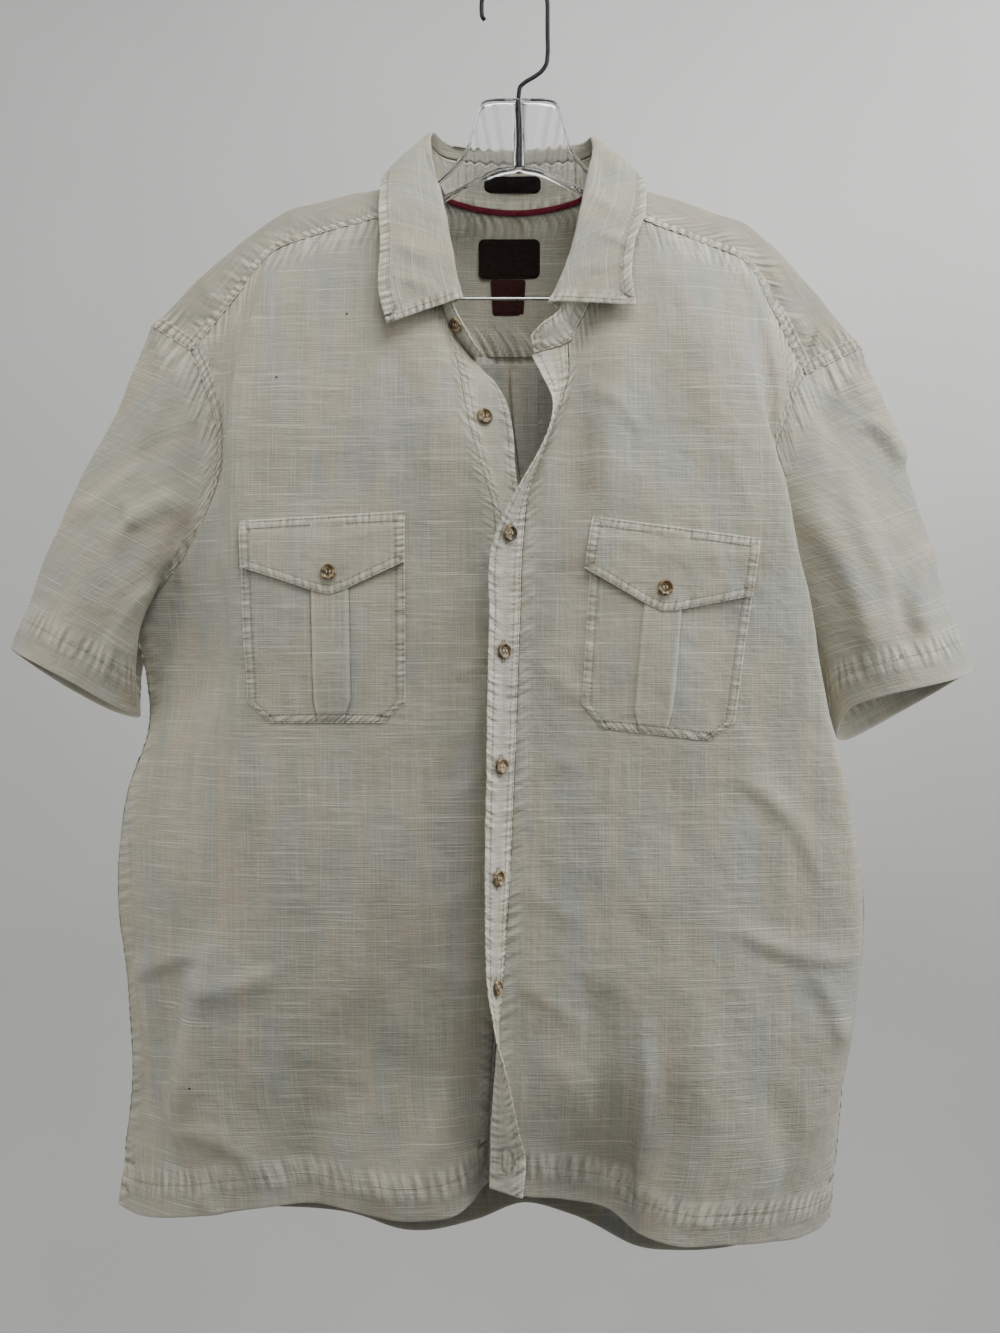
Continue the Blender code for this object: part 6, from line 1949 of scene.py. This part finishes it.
class SHIRT_OT_hanger(bpy.types.Operator):
    """Build the clear moulded hanger, its wire hook and its trouser bar"""

    bl_idname = "shirt.hanger"
    bl_label = "Hanger"

    def execute(self, context):
        us, vs = np.linspace(0, 1, 241), spaced(34, 4, 4, 0.8, 1.4)
        u, v = np.meshgrid(us, vs)
        points = hanger_plate(u.ravel(), v.ravel()).reshape(u.shape + (3,))
        across, downward = lengths(points, 1), lengths(points, 0)
        away = np.minimum(downward, downward[-1:] - downward)
        tip = np.minimum(across, across[:, -1:] - across)
        rim = 1 - smooth_step((np.minimum(away, tip * 0.8) - RIM_WIDTH) / RIM_FADE)
        share = np.abs(2 * u - 1)
        ridge = np.sin(share * RIDGE_COUNT * np.pi) ** 2 * smooth_step((share - 0.03) / 0.05)
        column = np.sqrt(np.clip(COLUMN_RADIUS**2 - (points[..., 0] - SOCKET_X) ** 2, 0, None))
        ridge *= RIDGE_HEIGHT * (1 - rim) * smooth_step((0.75 - share) / 0.1)
        thick = WEB_THICK + (HANGER_THICK - WEB_THICK) * rim + ridge
        thick = np.minimum(np.maximum(thick, 2 * column), HANGER_THICK)
        thick *= 0.8 + 0.2 * smooth_step(np.minimum(away, tip) / 0.9)
        cross = np.cross(np.gradient(points, axis=1), np.gradient(points, axis=0))
        flip = -1.0 if cross[..., 1].sum() > 0 else 1.0
        normals = np.broadcast_to(np.array([0.0, -1.0, 0.0]), points.shape)
        plate = Grid(
            u, v, points, normals, across, downward, thick, points[..., ::2], points * 0, u * 0, False, flip
        )
        mesh = shell("hanger_plastic", plate)
        placed("hanger_plastic", mesh, "clear_moulding", ("hanger_body",))
        placed("hook_wire_bent", joined_mesh("hook_wire_bent", [tube(hook_path(), WIRE_RADIUS, 14)]),
               "coated_wire", ("hanger_hook",))
        placed("bar_wire_bent", joined_mesh("bar_wire_bent", [tube(bar_path(), BAR_RADIUS, 12)]),
               "drawn_wire", ("hanger_bar",))
        return {"FINISHED"}


def arc(centre_x, centre_z, radius, start, stop, count):
    """Points on an arc in the XZ plane, angles in degrees from +X towards +Z."""
    turns = np.radians(np.linspace(start, stop, count))
    return np.stack([centre_x + radius * np.cos(turns), turns * 0, centre_z + radius * np.sin(turns)], -1)


def hook_path():
    """Hook: up out of the socket, bent aside, and round the rail in one arc to its tip."""
    stem = np.array([
        (SOCKET_X, 0, SOCKET_FOOT + 0.4), (SOCKET_X, 0, -130), (SOCKET_X, 0, -97), (4.5, 0, -92),
        (8.5, 0, -88), (16, 0, -83.5), (22, 0, -79), (26, 0, -73), (27, 0, -66), (27, 0, -48),
        (27, 0, WIRE_RADIUS - HOOK_RADIUS),
    ], float)
    stem = along([tuple(point) for point in stem], np.linspace(0, 1, 70))
    bow = arc(0, WIRE_RADIUS - HOOK_RADIUS, HOOK_RADIUS, 2, 180, 60)
    return np.concatenate([stem, bow, [(-27, 0, -30), (-26.6, 0, -34), (-24.5, 0, -37)]])


def bar_path():
    """Trouser bar: down from the hanger, along, and up to it again."""
    left, right, low = SOCKET_X - BAR_HALF, SOCKET_X + BAR_HALF, BAR_Z + BAR_BEND
    return np.concatenate([
        [(left, 0, BAR_TOP)], arc(left + BAR_BEND, low, BAR_BEND, 180, 270, 10),
        arc(right - BAR_BEND, low, BAR_BEND, 270, 360, 10), [(right, 0, BAR_TOP)],
    ])


class SHIRT_OT_stage(bpy.types.Operator):
    """Set the round studio, its lamps and the camera"""

    bl_idname = "shirt.stage"
    bl_label = "Studio"

    def execute(self, context):
        sizes = context.scene.stage_sizes
        radius, drop, cove = sizes.wall_radius, sizes.floor_drop, STUDIO_COVE
        bend = np.radians(np.linspace(0, 90, 16))
        profile = np.concatenate([
            [(0.01, -drop), (radius - cove, -drop)],
            np.stack([radius - cove + cove * np.sin(bend), cove - drop - cove * np.cos(bend)], -1),
            [(radius, STUDIO_TOP)],
        ])
        turns = np.linspace(0, 2 * np.pi, STUDIO_SIDES, endpoint=False)
        x, y = profile[:, :1] * np.cos(turns), profile[:, :1] * np.sin(turns)
        corners = np.stack([x, y, np.broadcast_to(profile[:, 1:], x.shape)], -1).reshape(-1, 3)
        faces = [face[::-1] for face in ring_faces(len(profile), STUDIO_SIDES)[:-1]]
        mesh = smooth_mesh("studio", corners, faces)
        studio = bpy.data.objects.new("studio", mesh)
        made, tree, shader = new_material("studio_paint")
        darker = tuple(channel * 0.95 for channel in sizes.wall)
        plaster = ranged(tree, mottled(tree, 1.1, 2.0), 0.35, 0.65)
        feed(tree, shader, Base_Color=tinted(tree, plaster, darker, tuple(sizes.wall)), Roughness=0.95)
        mesh.materials.append(made)
        context.scene.collection.objects.link(studio)
        for row in LAMPS:
            data = bpy.data.lights.new(row.name, "AREA")
            data.shape, data.size, data.size_y = "RECTANGLE", row.wide, row.high
            data.energy = row.share * sizes.lamp_power
            data.color = row.colour
            lamp = bpy.data.objects.new(row.name, data)
            place, aim = np.array(row.place), np.array(row.aim)
            lamp.location = place
            lamp.rotation_mode = "QUATERNION"
            lamp.rotation_quaternion = direction_of(aim - place)
            lamp.visible_camera = False
            context.scene.collection.objects.link(lamp)
        world = bpy.data.worlds.new("soft_daylight")
        world.use_nodes = True
        world.node_tree.nodes["Background"].inputs["Color"].default_value = SKY_COLOUR
        world.node_tree.nodes["Background"].inputs["Strength"].default_value = SKY_STRENGTH
        context.scene.world = world
        data = bpy.data.cameras.new("camera")
        data.lens, data.sensor_width = sizes.focal, SENSOR_WIDTH
        camera = bpy.data.objects.new("camera", data)
        camera.location = CAMERA_PLACE
        camera.rotation_euler = (math.radians(90), 0, 0)
        context.scene.collection.objects.link(camera)
        context.scene.camera = camera
        return {"FINISHED"}


# The studio, in metres from the rail: the rounding at the wall's foot and the wall's height
STUDIO_SIDES = 96
STUDIO_COVE = 1.8
STUDIO_TOP = 3.0
SKY_COLOUR = (0.93, 0.96, 1.0, 1)
SKY_STRENGTH = 0.18
CAMERA_PLACE = (-0.0119, -1.5, -0.566)
SENSOR_WIDTH = 36.0
LampRow = namedtuple("LampRow", "name place aim wide high share colour")
LAMPS = rows_of(
    LampRow, ("top_lamp", (0.35, -0.75, 0.85), (0.0, 0.0, -0.35), 1.2, 0.8, 1.15, (1.0, 0.985, 0.95)),
    ("left_lamp", (-1.6, -0.35, -0.1), (0.0, 0.0, -0.5), 0.7, 1.5, 0.62, (1.0, 0.965, 0.90)),
    ("right_lamp", (1.6, -0.25, -0.05), (0.0, 0.0, -0.5), 0.7, 1.6, 1.2, (0.96, 0.985, 1.0)),
    ("back_lamp", (0.2, 1.5, 1.6), (0.0, 0.0, -0.4), 1.4, 1.0, 0.7, (1.0, 1.0, 1.0)),
    ("front_lamp", (0.3, -2.4, 0.4), (0.0, 0.0, -0.5), 1.6, 1.2, 0.5, (1.0, 0.99, 0.97)),
    ("wall_lamp", (1.2, 2.4, 1.6), (0.4, 5.0, 0.0), 2.4, 1.2, 4.6, (1.0, 1.0, 0.99)),
)


def direction_of(vector):
    """Turn that points a lamp's -Z axis along a direction."""
    return Vector(vector).to_track_quat("-Z", "Y")


class SHIRT_PT_panel(bpy.types.Panel):
    """Lists the steps that build the shirt, with their sizes"""

    bl_label = "Shirt"
    bl_space_type = "VIEW_3D"
    bl_region_type = "UI"
    bl_category = "Shirt"

    def draw(self, context):
        for name in ShirtSizes.__annotations__:
            self.layout.prop(context.scene.shirt_sizes, name)
        for name in StageSizes.__annotations__:
            self.layout.prop(context.scene.stage_sizes, name)
        for step in STEPS:
            self.layout.operator(step.bl_idname)


STEPS = (
    SHIRT_OT_stage, SHIRT_OT_materials, SHIRT_OT_fronts, SHIRT_OT_back, SHIRT_OT_yoke, SHIRT_OT_sleeves,
    SHIRT_OT_collar, SHIRT_OT_bands, SHIRT_OT_pockets, SHIRT_OT_labels, SHIRT_OT_buttons, SHIRT_OT_laps,
    SHIRT_OT_stitching, SHIRT_OT_hanger,
)


def register():
    for kind in (ShirtSizes, StageSizes, *STEPS, SHIRT_PT_panel):
        bpy.utils.register_class(kind)
    bpy.types.Scene.shirt_sizes = bpy.props.PointerProperty(type=ShirtSizes)
    bpy.types.Scene.stage_sizes = bpy.props.PointerProperty(type=StageSizes)


def unregister():
    del bpy.types.Scene.shirt_sizes
    del bpy.types.Scene.stage_sizes
    for kind in (SHIRT_PT_panel, *reversed(STEPS), StageSizes, ShirtSizes):
        bpy.utils.unregister_class(kind)


def main():
    register()
    for step in STEPS:
        category, action = step.bl_idname.split(".")
        getattr(getattr(bpy.ops, category), action)()
    bpy.context.view_layer.update()


if __name__ == "__main__":
    main()
